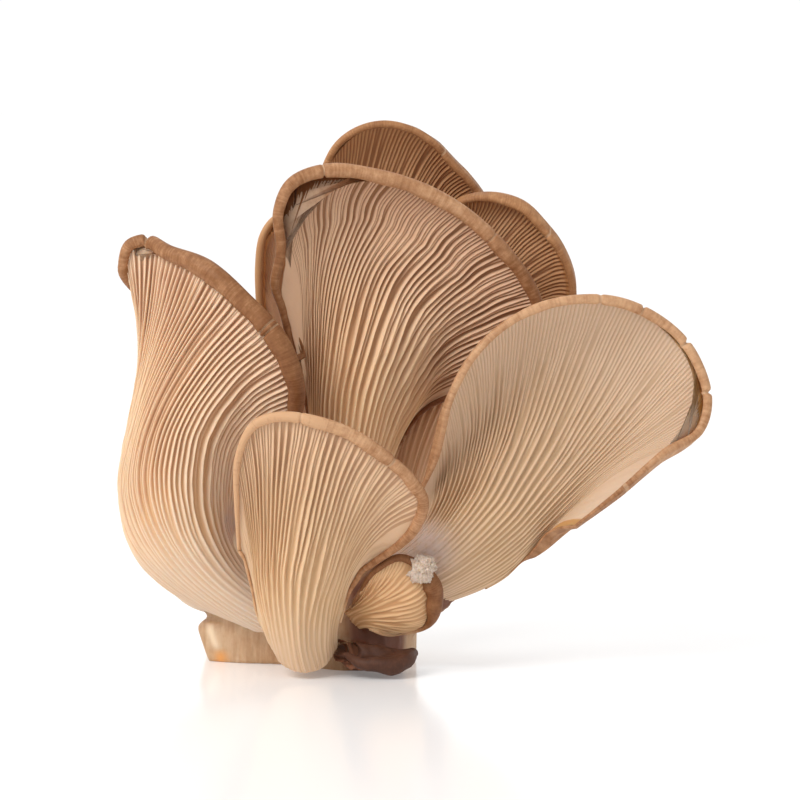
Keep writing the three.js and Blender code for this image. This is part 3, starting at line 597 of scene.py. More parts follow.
def round_back(face, b):
    """Places and values of the back sheet, whose columns run from right to left."""
    a, b = np.broadcast_arrays(np.linspace(1, 0, BACK_COLUMNS + 1)[None, :], b[:, :1])
    s, t = face.place(a, b, SHEET_ROLL)
    deep = face.depth(a, b)
    plate = deep - face.cap_flesh(a, b) - PLATE_GAP
    skin = face.body["skin"]
    deep = mix(deep, plate, smooth(b, skin - 0.01, skin + 0.06))
    fibres = BACK_FIBRES * random_field(face.rng, 34, 5)(a, b)
    deep = (deep + fibres) * np.sqrt(1 - np.abs(2 * a - 1) ** 10)
    places = face.point(s, t) + face.backward(s, t, b) * deep[..., None]
    none = np.zeros_like(a)
    return places, dict(across=a, along=b, crest=none + BACK_TONE, fuzz=none, skin=none)


# %% The round end below the foot
FOOT_ROWS = 7
FOOT_ROUND = 2.2  # how far the round end reaches below the foot, in mm
FLOOR_CLEAR = 0.25  # how far every stem stays above the floor, in mm


def round_foot(front, back, face):
    """Extra rows that close the tube below its foot."""
    centre = (front[0].mean(0) + back[0].mean(0)) / 2
    middle = np.array([0.5])
    down = -unit(face.up(middle, np.array([0.0])))[0]
    rows = []
    for turn in np.linspace(math.pi / 2, 0, FOOT_ROWS, endpoint=False):
        reach = math.cos(turn) ** 0.8
        lower = down * FOOT_ROUND * math.sin(turn)
        rows.append([centre + (sheet[0] - centre) * reach + lower for sheet in (front, back)])
    return [np.vstack([[row[i] for row in rows], sheet]) for i, sheet in enumerate((front, back))]


# %% The strip of triangles along the margin
def strip(first, second):
    """Triangles between two rows of vertices with different numbers of them."""
    i = j = 0
    while i < len(first) - 1 or j < len(second) - 1:
        if (i + 1) / (len(first) - 1) <= (j + 1) / (len(second) - 1):
            yield first[i], first[i + 1], second[j]
            i += 1
        else:
            yield first[i], second[j + 1], second[j]
            j += 1


def close_margin(piece, front, back):
    mesh = bmesh.new()
    mesh.from_mesh(piece.data)
    mesh.verts.ensure_lookup_table()
    front_count, back_count = front.shape[0] * front.shape[1], back.shape[0] * back.shape[1]
    front_end = range(front_count - front.shape[1], front_count)
    back_end = range(front_count + back_count - back.shape[1], front_count + back_count)
    for corners in strip(front_end, back_end[::-1]):
        mesh.faces.new([mesh.verts[k] for k in corners])
    mesh.to_mesh(piece.data)
    mesh.free()


# %% Stem and gills of one fruit body
def stem_and_gills(name, rows):
    face = FACES[name]
    front, front_look = gilled_sheet(face, rows)
    back, back_look = round_back(face, front_look["along"])
    back[:, 0], back[:, -1] = front[:, -1], front[:, 0]
    front, back = round_foot(front, back, face)
    for sheet in (front, back):
        sheet[..., 2] = np.maximum(sheet[..., 2], FLOOR_CLEAR)
    piece = flat_grid(f"stem_and_gills_{name}", front.shape[1] - 1, front.shape[0] - 1)
    join(piece, [flat_grid("rear", back.shape[1] - 1, back.shape[0] - 1)])
    move_vertices(piece, np.vstack([front.reshape(-1, 3), back.reshape(-1, 3)]))
    for attribute in front_look:
        looks = [look[attribute] for look in (front_look, back_look)]
        looks = [np.vstack([np.repeat(look[:1], FOOT_ROWS, 0), look]).ravel() for look in looks]
        paint(piece, attribute, np.concatenate(looks))
    close_margin(piece, front, back)
    weld(piece)
    report(piece)
    return piece


ROWS = {"front": 96, "left": 104, "centre": 96, "right": 96, "top": 64, "back_right": 60, "back_left": 56,
        "small_side": 48, "small_low": 36}
gill_pieces = {name: stem_and_gills(name, rows) for name, rows in ROWS.items()}

# %% [markdown]
# ## The caps
# A cap is a thin slab of flesh: smooth brown skin over, an underside that the gills hide, and a margin
# that rolls over to the front. The slab is a grid that is extruded once for each step round the roll, so
# its walls already have the rows that the roll needs, and every vertex knows its column, row and level
# from where it stands in the flat slab. Then each is moved: the two faces onto the face's depth, and the
# walls round a circle. `nick` marks the cracks in the margin, and `deep` how dark the skin is there,
# which is partly its own tone and partly painted light and shade on the roll.

# %% A flat slab with levels in its walls
LEVELS = 15


def flat_slab(name, columns, rows):
    slab = flat_grid(name, columns, rows)
    bpy.ops.object.mode_set(mode="EDIT")
    bpy.ops.mesh.select_all(action="SELECT")
    for _ in range(LEVELS):
        bpy.ops.mesh.extrude_region_move(TRANSFORM_OT_translate={"value": (0, 0, 1 / LEVELS)})
    bpy.ops.object.mode_set(mode="OBJECT")
    x, y, z = vertex_places(slab).T
    column = np.rint((x + 0.5) * columns).astype(int)
    row = np.rint((y + 0.5) * rows).astype(int)
    level = np.rint(z * LEVELS).astype(int)
    return slab, column, row, level


# %% Cracks in the margin
NICKS = {  # share of the way along the margin, half width and depth in mm
    "centre": [(0.667, 0.3, 0.55), (0.36, 0.3, 0.25)],
    "left": [(0.65, 0.35, 0.5), (0.662, 0.3, 0.3), (0.3, 1.0, 1.5)],
    "right": [(0.45, 0.5, 0.35), (0.52, 0.4, 0.8), (0.605, 0.5, 1.1), (0.69, 0.5, 1.0), (0.9, 0.7, 0.8)],
    "front": [(0.655, 0.5, 0.5), (0.43, 0.3, 0.2)],
    "top": [(0.6, 0.4, 0.3)],
    "back_right": [(0.5, 0.4, 0.3)],
}
NICK_COLUMNS = (-2.2, -1.3, -0.6, 0, 0.6, 1.3, 2.2)  # places of a nick's columns, in its half widths
CLOSEST_MM = 0.3  # an even column this close to one of them is left out


def nick_at(name, s, margin_mm):
    """How deep the nicks reach at each place of the margin, in mm, and 1 in the middle of a nick."""
    depth, mask = np.zeros_like(s), np.zeros_like(s)
    for where, width, deep in NICKS.get(name, []):
        shape = np.exp(-(((s - where) * margin_mm / width) ** 2))
        depth, mask = depth + deep * shape, np.maximum(mask, shape)
    return depth, mask


def margin_columns(name, count, margin_mm):
    """Columns that are even but for more of them in the nicks."""
    close = [where + offset * width / margin_mm for where, width, _ in NICKS.get(name, [])
             for offset in NICK_COLUMNS]
    even = [x for x in np.linspace(0, 1, count + 1)
            if all(abs(x - y) * margin_mm > CLOSEST_MM for y in close)]
    return np.sort(np.array(close + even))


# %% The roll along both sides and the margin
ROLL = np.radians(np.linspace(-40, 252, LEVELS - 1))  # from inside the cap over the front to the upper side
ROLL_LIFT = 0.35  # how far the roll's middle lies before the face, in radii
NICK_THINS = 0.25  # how much thinner the roll is in a nick


def rolled_edge(face, a, ends):
    """Places round the roll, up the left side, along the margin and down the right side, and the nicks."""
    s = np.concatenate([np.zeros_like(ends), a, np.ones_like(ends)])
    t = np.concatenate([ends, np.ones_like(a), ends[::-1]])
    lips = np.concatenate([face.lip_beside(0, ends), face.lip(a), face.lip_beside(1, ends)[::-1]])
    dent, nick = (values * (t == 1) for values in nick_at(face.name, s, face.margin_mm))
    outer = face.point(s, t)
    tangent = unit(np.gradient(outer, axis=0))
    normal = -face.backward(s, t, t)
    outward = unit(np.cross(normal, tangent))
    lips = lips * (1 - NICK_THINS * nick)
    outer = outer - outward * dent[:, None]
    centre = outer - outward * lips[:, None] + normal * (ROLL_LIFT * lips)[:, None]
    angle = ROLL[:, None, None]
    places = centre - outward * lips[:, None] * np.cos(angle) + normal * lips[:, None] * np.sin(angle)
    return places, nick


# %% The cap of one fruit body
CROWDED = 0.9  # below 1 the rows stand closer towards the margin
WRINKLES = (0.1, 0.22)  # how far fine and broad wrinkles of the skin stand out, in mm
# 0 is the usual brown and 1 a deep reddish brown; higher values also paint shade where the roll turns from
# the light, lower ones paint light where light falls on it.
RIM_TONE_LIGHT_AND_SHADE = {  # how dark the skin is along the margin, partly its own tone and partly painted light and shade
    "front": [-0.9, -1.1, -1, -0.9, -0.3, 0.2, 0.2], "left": [0.5, 0.5, 0.5, 0.6, 0.8, 1, 1.3, 1.5],
    "centre": [1, 1, 0.8, 0, -0.5, -0.3, 0.3, 0.8, 1.3, 1.5],
    "right": [-0.2, -0.6, -0.7, -0.7, -0.5, -0.5, -0.3, 0, 0.3], "back_left": [-2, -2],
    "small_side": [0.9, 1.1, 1, 1, 1.3, 1.5, 1.4, 0.8, -2],
}


def cap(name, columns, rows):
    face = FACES[name]
    start = face.body["skin"] + 0.02
    b = mix(start, 1, np.linspace(0, 1, rows + 1) ** CROWDED)[:, None]
    a = margin_columns(name, columns, face.margin_mm)[None, :]
    columns = a.shape[1] - 1
    a, b = np.broadcast_arrays(a, b)
    s, t = face.place(a, b)
    surface, back = face.point(s, t), face.backward(s, t, b)
    flesh, depth = face.cap_flesh(a, b), face.depth(a, b)
    fine, broad = random_field(face.rng, 60, 4), random_field(face.rng, 14, 8)
    wrinkles = face.liveliness**2 * (WRINKLES[0] * fine(a, b) + WRINKLES[1] * broad(a, b))
    wrinkles = wrinkles * smooth(1 - np.abs(2 * a - 1), 0, 0.2) * smooth(1 - b, 0, 0.15)
    under = surface + back * (depth - flesh)[..., None]
    over = surface + back * (depth + wrinkles)[..., None]
    roll, nick = rolled_edge(face, a[0], b[:-1, 0])

    slab, column, row, level = flat_slab(f"cap_skin_{name}", columns, rows)
    edge = np.select([row == rows, column == 0, column == columns],
                     [rows + column, row, 2 * rows + columns - row], -1)
    places = mix(under[row, column], over[row, column], (level / LEVELS)[:, None])
    rolled = (edge >= 0) & (level > 0) & (level < LEVELS)
    places[rolled] = roll[level[rolled] - 1, edge[rolled]]
    move_vertices(slab, places)
    paint(slab, "across", a[row, column])
    paint(slab, "along", b[row, column])
    paint(slab, "nick", np.where(edge >= 0, nick[edge], 0))
    # deep is partly the skin's own tone and partly painted light and shade along the roll.
    paint(slab, "deep", read_evenly(RIM_TONE_LIGHT_AND_SHADE.get(name, [0, 0]), a[row, column]))
    weld(slab)
    report(slab)
    return slab


CAP_GRIDS = {"front": (110, 46), "left": (150, 56), "centre": (160, 56), "right": (160, 56), "top": (90, 40),
             "back_right": (80, 36), "back_left": (60, 32), "small_side": (60, 28), "small_low": (44, 20)}
cap_pieces = {name: cap(name, *grid) for name, grid in CAP_GRIDS.items()}

# %% [markdown]
# ## The butt
# All stems run together in the butt, which was cut off with a knife: flat below, with a slanting cut at
# its left. Flesh that grew together has no seams, so the block and a short root for every stem are
# joined and remeshed to one skin. Two bisecting cuts are made first, because remeshing keeps them only a
# little rounded, as a knife leaves them.

# %% The block with its knife cuts
# Seen from above and in mm: the outline, and a dome that rises over the block
BUTT_OUTLINE = [(-31.5, 8), (-29.5, 1.5), (-21, -2.5), (-11, -4.5), (-3, -9.5), (6, -15),
                (16, -13), (22, -4), (24, 8), (18, 20), (4, 27), (-12, 25), (-26, 18)]
BUTT_MIDDLE = np.array([0, 6])
BUTT_DOME = dict(low=10, rise=15, at=(8, 5), reach=(17, 15))
# From the top of the sphere to its bottom: the share of the way down, of the outline's reach and of the
# height that the dome gives there
BUTT_PROFILE = np.array([(0, 0, 1), (0.15, 0.35, 1), (0.27, 0.6, 1), (0.38, 0.84, 0.99), (0.44, 0.95, 0.93),
                         (0.52, 1, 0.75), (0.72, 1, 0.14), (0.78, 0.98, 0), (1, 0, 0)])
KNIFE_CUTS = [  # a place in the cut, in metres, its direction, and whether the flesh before it falls away
    ((-0.0302, 0, 0.006), (-0.94, -0.05, -0.33), True),
    ((-0.025, -0.0012, 0.005), (-0.35, -0.93, -0.1), False)]

closed = BUTT_OUTLINE[-2:] + BUTT_OUTLINE + BUTT_OUTLINE[:3]
outline = evenly_spaced([(x, y, 0) for x, y in closed])[:, :2] - BUTT_MIDDLE
turns = np.arctan2(outline[:, 1], outline[:, 0])
order = np.argsort(turns)
turns, reaches = turns[order], np.linalg.norm(outline, axis=1)[order]

bpy.ops.object.select_all(action="DESELECT")
bpy.ops.mesh.primitive_uv_sphere_add(segments=96, ring_count=64, radius=1)
block = bpy.context.object
block.name = block.data.name = "butt_flesh"
x, y, z = vertex_places(block).T
polar = np.arccos(np.clip(z, -1, 1)) / np.pi
reach = np.interp(np.arctan2(y, x), turns, reaches, period=2 * np.pi)
reach = reach * np.interp(polar, BUTT_PROFILE[:, 0], BUTT_PROFILE[:, 1])
flat = np.stack([x, y], -1) / np.maximum(np.hypot(x, y), 1e-9)[:, None] * reach[:, None] + BUTT_MIDDLE
off = (flat - BUTT_DOME["at"]) / BUTT_DOME["reach"]
dome = BUTT_DOME["low"] + BUTT_DOME["rise"] * np.exp(-(off**2).sum(1))
move_vertices(block, np.column_stack([flat, dome * np.interp(polar, BUTT_PROFILE[:, 0], BUTT_PROFILE[:, 2])]))
bpy.ops.object.mode_set(mode="EDIT")
for place, outward, falls_away in KNIFE_CUTS:
    bpy.ops.mesh.select_all(action="SELECT")
    bpy.ops.mesh.bisect(plane_co=place, plane_no=outward, use_fill=True, clear_outer=falls_away)
bpy.ops.object.mode_set(mode="OBJECT")
report(block)

# %% A root for every stem
ROOTS = {  # row of the stem that its root starts from, and the place in the butt where it ends, in mm
    "front": (0.1, (-2, -3, 7)), "left": (0.1, (-9, 8, 8)), "centre": (0.12, (7, 5, 8)),
    "right": (0.2, (8, -1, 9)), "top": (0.16, (7, 14, 8)), "back_right": (0.14, (14, 8, 8)),
    "back_left": (0.14, (-1, 14, 8)), "small_side": (0.3, (6, -6, 7)), "small_low": (0.4, (5, -4, 6))}
ROOT_COLUMNS = 13
ROOT_INSIDE = (0.9, 0.5)  # how far a root stays inside the stem's front and back, in mm
ROOT_WIDENS = 1.15  # width of its lower end as a share of its upper one's
roots = []
for name, (row_share, end) in ROOTS.items():
    face = FACES[name]
    a = np.linspace(0, 1, ROOT_COLUMNS)
    row = np.full_like(a, row_share)
    s, t = face.place(a, row)
    ring_front = face.point(s, t) - face.normal(s, t) * ROOT_INSIDE[0]
    deep = face.depth(a, row) - ROOT_INSIDE[1]
    ring_back = face.point(s, t) + face.backward(s, t, row) * deep[:, None]
    ring = np.vstack([ring_front, ring_back[::-1][1:-1]])
    middle = ring.mean(0)
    end = np.array(end, float)
    bpy.ops.object.select_all(action="DESELECT")
    bpy.ops.mesh.primitive_cylinder_add(vertices=len(ring), radius=1, depth=2, end_fill_type="TRIFAN")
    root = bpy.context.object
    for vertex in root.data.vertices:
        if abs(vertex.co.x) < 1e-4 and abs(vertex.co.y) < 1e-4:
            vertex.co = Vector((middle if vertex.co.z > 0 else end) * MM)
            continue
        turn = (math.atan2(vertex.co.x, vertex.co.y) / (2 * math.pi)) % 1
        k = int(round(turn * len(ring))) % len(ring)
        place = ring[k] if vertex.co.z > 0 else end + (ring[k] - middle) * ROOT_WIDENS
        vertex.co = Vector(place * MM)
    roots.append(root)
join(block, roots)
bpy.ops.object.mode_set(mode="EDIT")
bpy.ops.mesh.select_all(action="SELECT")
bpy.ops.mesh.normals_make_consistent(inside=False)
bpy.ops.object.mode_set(mode="OBJECT")
report(block)

# %% [markdown]
# ## One skin
# The voxel remesh melts block and roots together. Smoothing rounds the joints, and moving each vertex
# along its normal by smooth chance gives the uneven, slightly fibrous skin. `pale` and `stain` mark the
# knife cut's edge and foot, and `dark` the part in the shade of the small fruit bodies.

# %% Remesh, smooth and roughen the butt
def apply_modifier(piece, kind, **settings):
    bpy.ops.object.select_all(action="DESELECT")
    piece.select_set(True)
    bpy.context.view_layer.objects.active = piece
    modifier = piece.modifiers.new(kind.lower(), kind)
    for key, value in settings.items():
        setattr(modifier, key, value)
    bpy.ops.object.modifier_apply(modifier=modifier.name)


VOXEL_M = 0.00055
LUMPS, FIBRES = 0.3, 0.15  # how far lumps and fibres stand out, in mm
FIELD_MM = 80  # the random fields span this width, from -40 mm on

apply_modifier(block, "REMESH", mode="VOXEL", voxel_size=VOXEL_M)
apply_modifier(block, "SMOOTH", factor=0.5, iterations=6)
co = vertex_places(block) / MM
no = np.empty(len(co) * 3, np.float32)
block.data.vertex_normals.foreach_get("vector", no)
rng = np.random.default_rng(5)
lumps = random_field(rng, 26, 26)
fibres = random_field(rng, 110, 9)
x, y, z = co.T
across, deep = x / FIELD_MM + 0.5, y / FIELD_MM + 0.5
rough = LUMPS * lumps(across, deep) + FIBRES * fibres(across, z / 30) * smooth(z, 0.6, 2)
co = co + no.reshape(-1, 3) * (rough * smooth(z, 0.5, 2) * smooth(x, -27, -20))[:, None]
co[:, 2] = np.maximum(co[:, 2], 0)
move_vertices(block, co)
paint(block, "pale", np.exp(-(((x + 27 + 0.35 * (z - 6)) / 1.1) ** 2)) * smooth(z, 2.5, 5) * smooth(y, 4, 0))
paint(block, "dark", smooth(x, 5, 9) * smooth(y, -4, -8))
paint(block, "stain", np.exp(-(((x + 25) / 1.6) ** 2)) * smooth(z, 4, 1.5) * smooth(y, 4, 0))
bpy.ops.object.shade_smooth()
report(block)

# %% [markdown]
# ## A tuft of mycelium
# A woolly white tuft sits where the small fruit body at the side meets the stem of the right one. It is a
# ball, pressed into a lump whose vertices chance moves in and out, in coarse steps and then in fine ones.

# %% Tuft
TUFT_AT = np.array([25.6, -27.2, 27.4])  # in mm
TUFT_HALF = np.array([3.2, 1.9, 3.3])  # half its size along each axis, in mm
bpy.ops.object.select_all(action="DESELECT")
bpy.ops.mesh.primitive_ico_sphere_add(subdivisions=6, radius=1)
tuft = bpy.context.object
tuft.name = tuft.data.name = "mycelium_tuft"
ball = vertex_places(tuft)
coarse, medium, wool = (random_field(rng, n, n) for n in (6, 18, 60))
x, y, z = (ball.T + 1) / 2
swell = 1 + 0.25 * coarse(x, z) + 0.14 * medium(x, (y + z) / 2)
swell = swell + 0.09 * wool((x + y) / 2, z) + 0.05 * wool(y, x)
move_vertices(tuft, TUFT_AT + ball * TUFT_HALF * swell[:, None])
bpy.ops.object.shade_smooth()
report(tuft)

# %% [markdown]
# ## Finishes
# Mushroom flesh lets light in a little way, so each finish has some subsurface scattering. Colour comes
# from how far up a gill and how far up the fan a point is, broken up by noise at the scale of real pores
# and fibres. The helpers keep the node trees short: `Finish` makes nodes and links them in one call.

# %% Node helper
class Finish:
    def __init__(self, name):
        self.material = bpy.data.materials.new(name)
        self.material.use_nodes = True
        self.tree = self.material.node_tree
        self.shader = self.tree.nodes["Principled BSDF"]

    def node(self, kind, inputs=None, **settings):
        made = self.tree.nodes.new(kind)
        for key, value in settings.items():
            setattr(made, key, value)
        for key, value in (inputs or {}).items():
            self.feed(made.inputs[key], value)
        return made

    def feed(self, socket, value):
        if isinstance(value, bpy.types.NodeSocket):
            self.tree.links.new(value, socket)
        else:
            socket.default_value = value

    def attribute(self, name):
        return self.node("ShaderNodeAttribute", attribute_name=name).outputs["Fac"]

    def math(self, operation, first, second):
        return self.node("ShaderNodeMath", {0: first, 1: second}, operation=operation).outputs[0]

    def times(self, value, factor):
        return self.math("MULTIPLY", value, factor)

    def unsettle(self, value, noise, amount):
        """Moves a value up and down with a noise whose middle is a half."""
        return self.math("ADD", value, self.times(self.math("SUBTRACT", noise, 0.5), amount))

    def stretch(self, value, low, high, to_low=0.0, to_high=1.0):
        inputs = {"Value": value, "From Min": low, "From Max": high, "To Min": to_low, "To Max": to_high}
        return self.node("ShaderNodeMapRange", inputs, clamp=True, interpolation_type="SMOOTHSTEP").outputs[0]

    def blend(self, share, first, second):
        made = self.node("ShaderNodeMix", data_type="RGBA")
        for socket, value in ((made.inputs[0], share), (made.inputs[6], first), (made.inputs[7], second)):
            self.feed(socket, value)
        return made.outputs[2]

    def noise(self, scale, detail=4.0, vector=None, roughness=0.55):
        inputs = {"Scale": scale, "Detail": detail, "Roughness": roughness}
        inputs["Vector"] = vector or self.node("ShaderNodeTexCoord").outputs["Object"]
        return self.node("ShaderNodeTexNoise", inputs).outputs["Fac"]

    def vector(self, x, y):
        return self.node("ShaderNodeCombineXYZ", {"X": x, "Y": y}).outputs[0]

    def ramp(self, value, stops):
        made = self.node("ShaderNodeValToRGB", {"Fac": value})
        ramp = made.color_ramp
        while len(ramp.elements) < len(stops):
            ramp.elements.new(0.5)
        for element, (position, colour) in zip(ramp.elements, stops):
            element.position, element.color = position, (*colour, 1)
        return made.outputs["Color"]

    def bump(self, height, distance, strength=1.0, below=None):
        inputs = {"Height": height, "Distance": distance, "Strength": strength}
        if below is not None:
            inputs["Normal"] = below
        return self.node("ShaderNodeBump", inputs).outputs["Normal"]

    def surface(self, colour, normal, roughness, subsurface, scale_mm, specular=0.35):
        """The finished material. Red light goes deepest into the flesh, by scale_mm."""
        shader = self.shader
        self.feed(shader.inputs["Base Color"], colour)
        self.feed(shader.inputs["Normal"], normal)
        self.feed(shader.inputs["Roughness"], roughness)
        shader.inputs["Subsurface Weight"].default_value = subsurface
        shader.inputs["Subsurface Radius"].default_value = (1.0, 0.55, 0.3)
        shader.inputs["Subsurface Scale"].default_value = scale_mm * MM
        shader.inputs["Specular IOR Level"].default_value = specular
        return self.material


# %% [markdown]
# ## Gill flesh
# Cream on the crests and brown in the valleys, yellowish near the stem and more pinkish towards the
# margin. The brown of the valleys is partly the flesh's own colour and partly painted shade between the
# blades. Each blade is streaked along its length, which is noise read across the gills much faster than
# along them.

# %% Gill finish
MYCELIUM = (0.68, 0.53, 0.46, 1)
COLOUR_ROWS = (0.02, 0.33, 0.66, 0.97)  # foot, waist, fan and margin


def gill_finish(name, crests, valleys_with_painted_shade, skin):
    """crests and valleys are the colours at the foot, at the waist, in the fan and at the margin. The valleys
    are partly their own brown and partly painted shade between the blades.
    """
    finish = Finish(f"gill flesh, {name}")
    along, crest = finish.attribute("along"), finish.attribute("crest")
    uneven = finish.unsettle(along, finish.noise(70, 3), 0.35)
    light, dark = (finish.ramp(uneven, list(zip(COLOUR_ROWS, stops))) for stops in (crests, valleys_with_painted_shade))
    streak_place = finish.vector(finish.times(finish.attribute("across"), 60), finish.times(along, 3))
    streaks = finish.noise(3, 5, streak_place, 0.65)
    height = finish.unsettle(crest, streaks, 0.35)
    # The valleys' darker colour is partly painted shade between the blades, not only the flesh's own brown.
    colour = finish.blend(finish.stretch(height, 0.02, 0.7), dark, light)
    colour = finish.blend(finish.stretch(streaks, 0.45, 0.8, 0, 0.2), colour, (*valleys_with_painted_shade[2], 1))
    edge = finish.unsettle(finish.attribute("skin"), finish.noise(420, 6, roughness=0.7), 0.5)
    colour = finish.blend(finish.stretch(edge, 0.2, 0.8), colour, (*skin, 1))
    patches = finish.stretch(finish.noise(700, 5), 0.3, 0.6, 0.4, 0.9)
    colour = finish.blend(finish.times(finish.attribute("fuzz"), patches), colour, MYCELIUM)
    fine = finish.bump(finish.noise(2600, 4), 0.00008, 0.35)
    normal = finish.bump(streaks, 0.00015, 0.3, fine)
    return finish.surface(colour, normal, finish.stretch(streaks, 0.3, 0.7, 0.55, 0.72), 0.22, 1.4, 0.22)


# %% Colours of the gills
GILL_COLOURS = {  # crests, valleys that are partly painted shade between the blades, and the brown skin that reaches in from the margin
    "left": ([(0.71, 0.57, 0.45), (0.82, 0.61, 0.43), (0.82, 0.58, 0.39), (0.78, 0.55, 0.38)],
             [(0.68, 0.51, 0.37), (0.68, 0.41, 0.22), (0.5, 0.27, 0.14), (0.42, 0.22, 0.12)],
             (0.36, 0.17, 0.08)),
    "front": ([(0.66, 0.46, 0.31), (0.74, 0.51, 0.31), (0.68, 0.46, 0.28), (0.7, 0.47, 0.3)],
              [(0.62, 0.42, 0.26), (0.58, 0.36, 0.19), (0.5, 0.3, 0.16), (0.48, 0.28, 0.16)],
              (0.4, 0.2, 0.09)),
    # The centre's valleys darken steeply in the fan and at the margin: painted shade under its roll and its
    # cap.
    "centre": ([(0.82, 0.56, 0.34), (0.82, 0.57, 0.34), (0.76, 0.51, 0.33), (0.68, 0.43, 0.28)],
               [(0.7, 0.43, 0.23), (0.6, 0.34, 0.17), (0.36, 0.18, 0.09), (0.28, 0.13, 0.06)],
               (0.27, 0.1, 0.035)),
    "right": ([(0.74, 0.52, 0.36), (0.66, 0.45, 0.28), (0.62, 0.43, 0.28), (0.66, 0.47, 0.33)],
              [(0.62, 0.42, 0.28), (0.46, 0.28, 0.14), (0.48, 0.31, 0.18), (0.54, 0.37, 0.24)],
              (0.5, 0.25, 0.09)),
    "warm": ([(0.72, 0.48, 0.3), (0.7, 0.45, 0.28), (0.62, 0.36, 0.19), (0.56, 0.3, 0.14)],
             [(0.68, 0.44, 0.27), (0.62, 0.38, 0.22), (0.36, 0.17, 0.08), (0.32, 0.14, 0.06)],
             (0.42, 0.19, 0.07)),
    # The back left body's colours, its skin most of all, are raised above its own: painted light against the
    # shade that the centre's cap casts on it.
    "back left, painted light": ([(0.84, 0.58, 0.38), (0.84, 0.58, 0.38), (0.78, 0.5, 0.32), (0.66, 0.38, 0.22)],
                  [(0.8, 0.55, 0.35), (0.8, 0.54, 0.34), (0.74, 0.48, 0.3), (0.66, 0.38, 0.2)],
                  (0.9, 0.5, 0.22)),
    "small": ([(0.82, 0.56, 0.33), (0.8, 0.52, 0.28), (0.76, 0.48, 0.26), (0.74, 0.47, 0.26)],
              [(0.7, 0.42, 0.22), (0.6, 0.33, 0.15), (0.56, 0.3, 0.14), (0.58, 0.33, 0.16)],
              (0.3, 0.12, 0.05)),
    # The dark finish, for the small fruit body low at the foot, is a very dark reddish brown: painted shade
    # over its own colour, low under the larger fruit bodies.
    "dark": ([(0.2, 0.085, 0.045), (0.2, 0.08, 0.04), (0.18, 0.07, 0.035), (0.16, 0.06, 0.03)],
             [(0.14, 0.055, 0.03), (0.12, 0.045, 0.022), (0.1, 0.04, 0.02), (0.09, 0.035, 0.018)],
             (0.08, 0.03, 0.016)),
}
gill_flesh = {name: gill_finish(name, *colours) for name, colours in GILL_COLOURS.items()}
print("gill finishes:", ", ".join(gill_flesh))

# %% [markdown]
# ## Cap skin
# Warm brown, finely mottled, with faint fibres that run from the stem to the margin. The skin fades to
# cream where it starts on the stem, and shows pale flesh in the cracks of the margin.

# %% Cap finishes
BARE_FLESH = (0.66, 0.44, 0.26, 1)  # where the cap starts on the stem
TORN_FLESH = (0.62, 0.4, 0.24, 1)  # in the cracks of the margin
TONE_STEPS = (0.26, 0.4, 0.51, 0.64)
CAP_COLOURS = {  # deep, dark, middle and light
    "cap": [(0.17, 0.056, 0.016), (0.27, 0.115, 0.044), (0.42, 0.21, 0.1), (0.6, 0.35, 0.19)],
    "cap_warm": [(0.18, 0.06, 0.02), (0.27, 0.115, 0.045), (0.4, 0.19, 0.08), (0.56, 0.3, 0.14)],
    # The cap low at the foot is almost black, which is painted shade low under the larger fruit bodies.
    "cap_dark": [(0.03, 0.011, 0.006), (0.055, 0.02, 0.011), (0.085, 0.033, 0.018), (0.14, 0.058, 0.033)],
}


def cap_finish(name, colours):
    finish = Finish(name.replace("cap", "cap skin").replace("_", ", "))
    along, across = finish.attribute("along"), finish.attribute("across")
    mottle, cloud = finish.noise(420, 6, roughness=0.7), finish.noise(60, 3)
    fibres = finish.noise(4, 5, finish.vector(finish.times(across, 42), finish.times(along, 4)), 0.6)
    tone = finish.math("ADD", finish.times(mottle, 0.42), finish.times(cloud, 0.26))
    tone = finish.math("ADD", tone, finish.times(fibres, 0.32))
    # deep darkens or lightens the skin: partly its own tone and partly painted shade and light on the roll.
    shifted = finish.math("SUBTRACT", tone, finish.times(finish.attribute("deep"), 0.13))
    colour = finish.ramp(shifted, list(zip(TONE_STEPS, colours)))
    bare = finish.stretch(finish.unsettle(along, fibres, 0.35), 0.3, 0.52, 1, 0)
    colour = finish.blend(bare, colour, BARE_FLESH)
    torn = finish.math("ADD", finish.attribute("nick"), finish.times(mottle, 0.4))
    colour = finish.blend(finish.times(finish.stretch(torn, 0.6, 1.0), 0.6), colour, TORN_FLESH)
    fine = finish.bump(finish.noise(1500, 5, roughness=0.7), 0.0001, 0.5)
    normal = finish.bump(tone, 0.0004, 0.5, fine)
    return finish.surface(colour, normal, finish.stretch(mottle, 0.3, 0.7, 0.48, 0.64), 0.12, 1.2, 0.25)


cap_skin = {slot: cap_finish(slot, colours) for slot, colours in CAP_COLOURS.items()}
print("cap finishes:", ", ".join(cap_skin))

# %% [markdown]
# ## Butt flesh
# Cream to orange, with brown stains where the knife went through and vertical fibres round the stems.

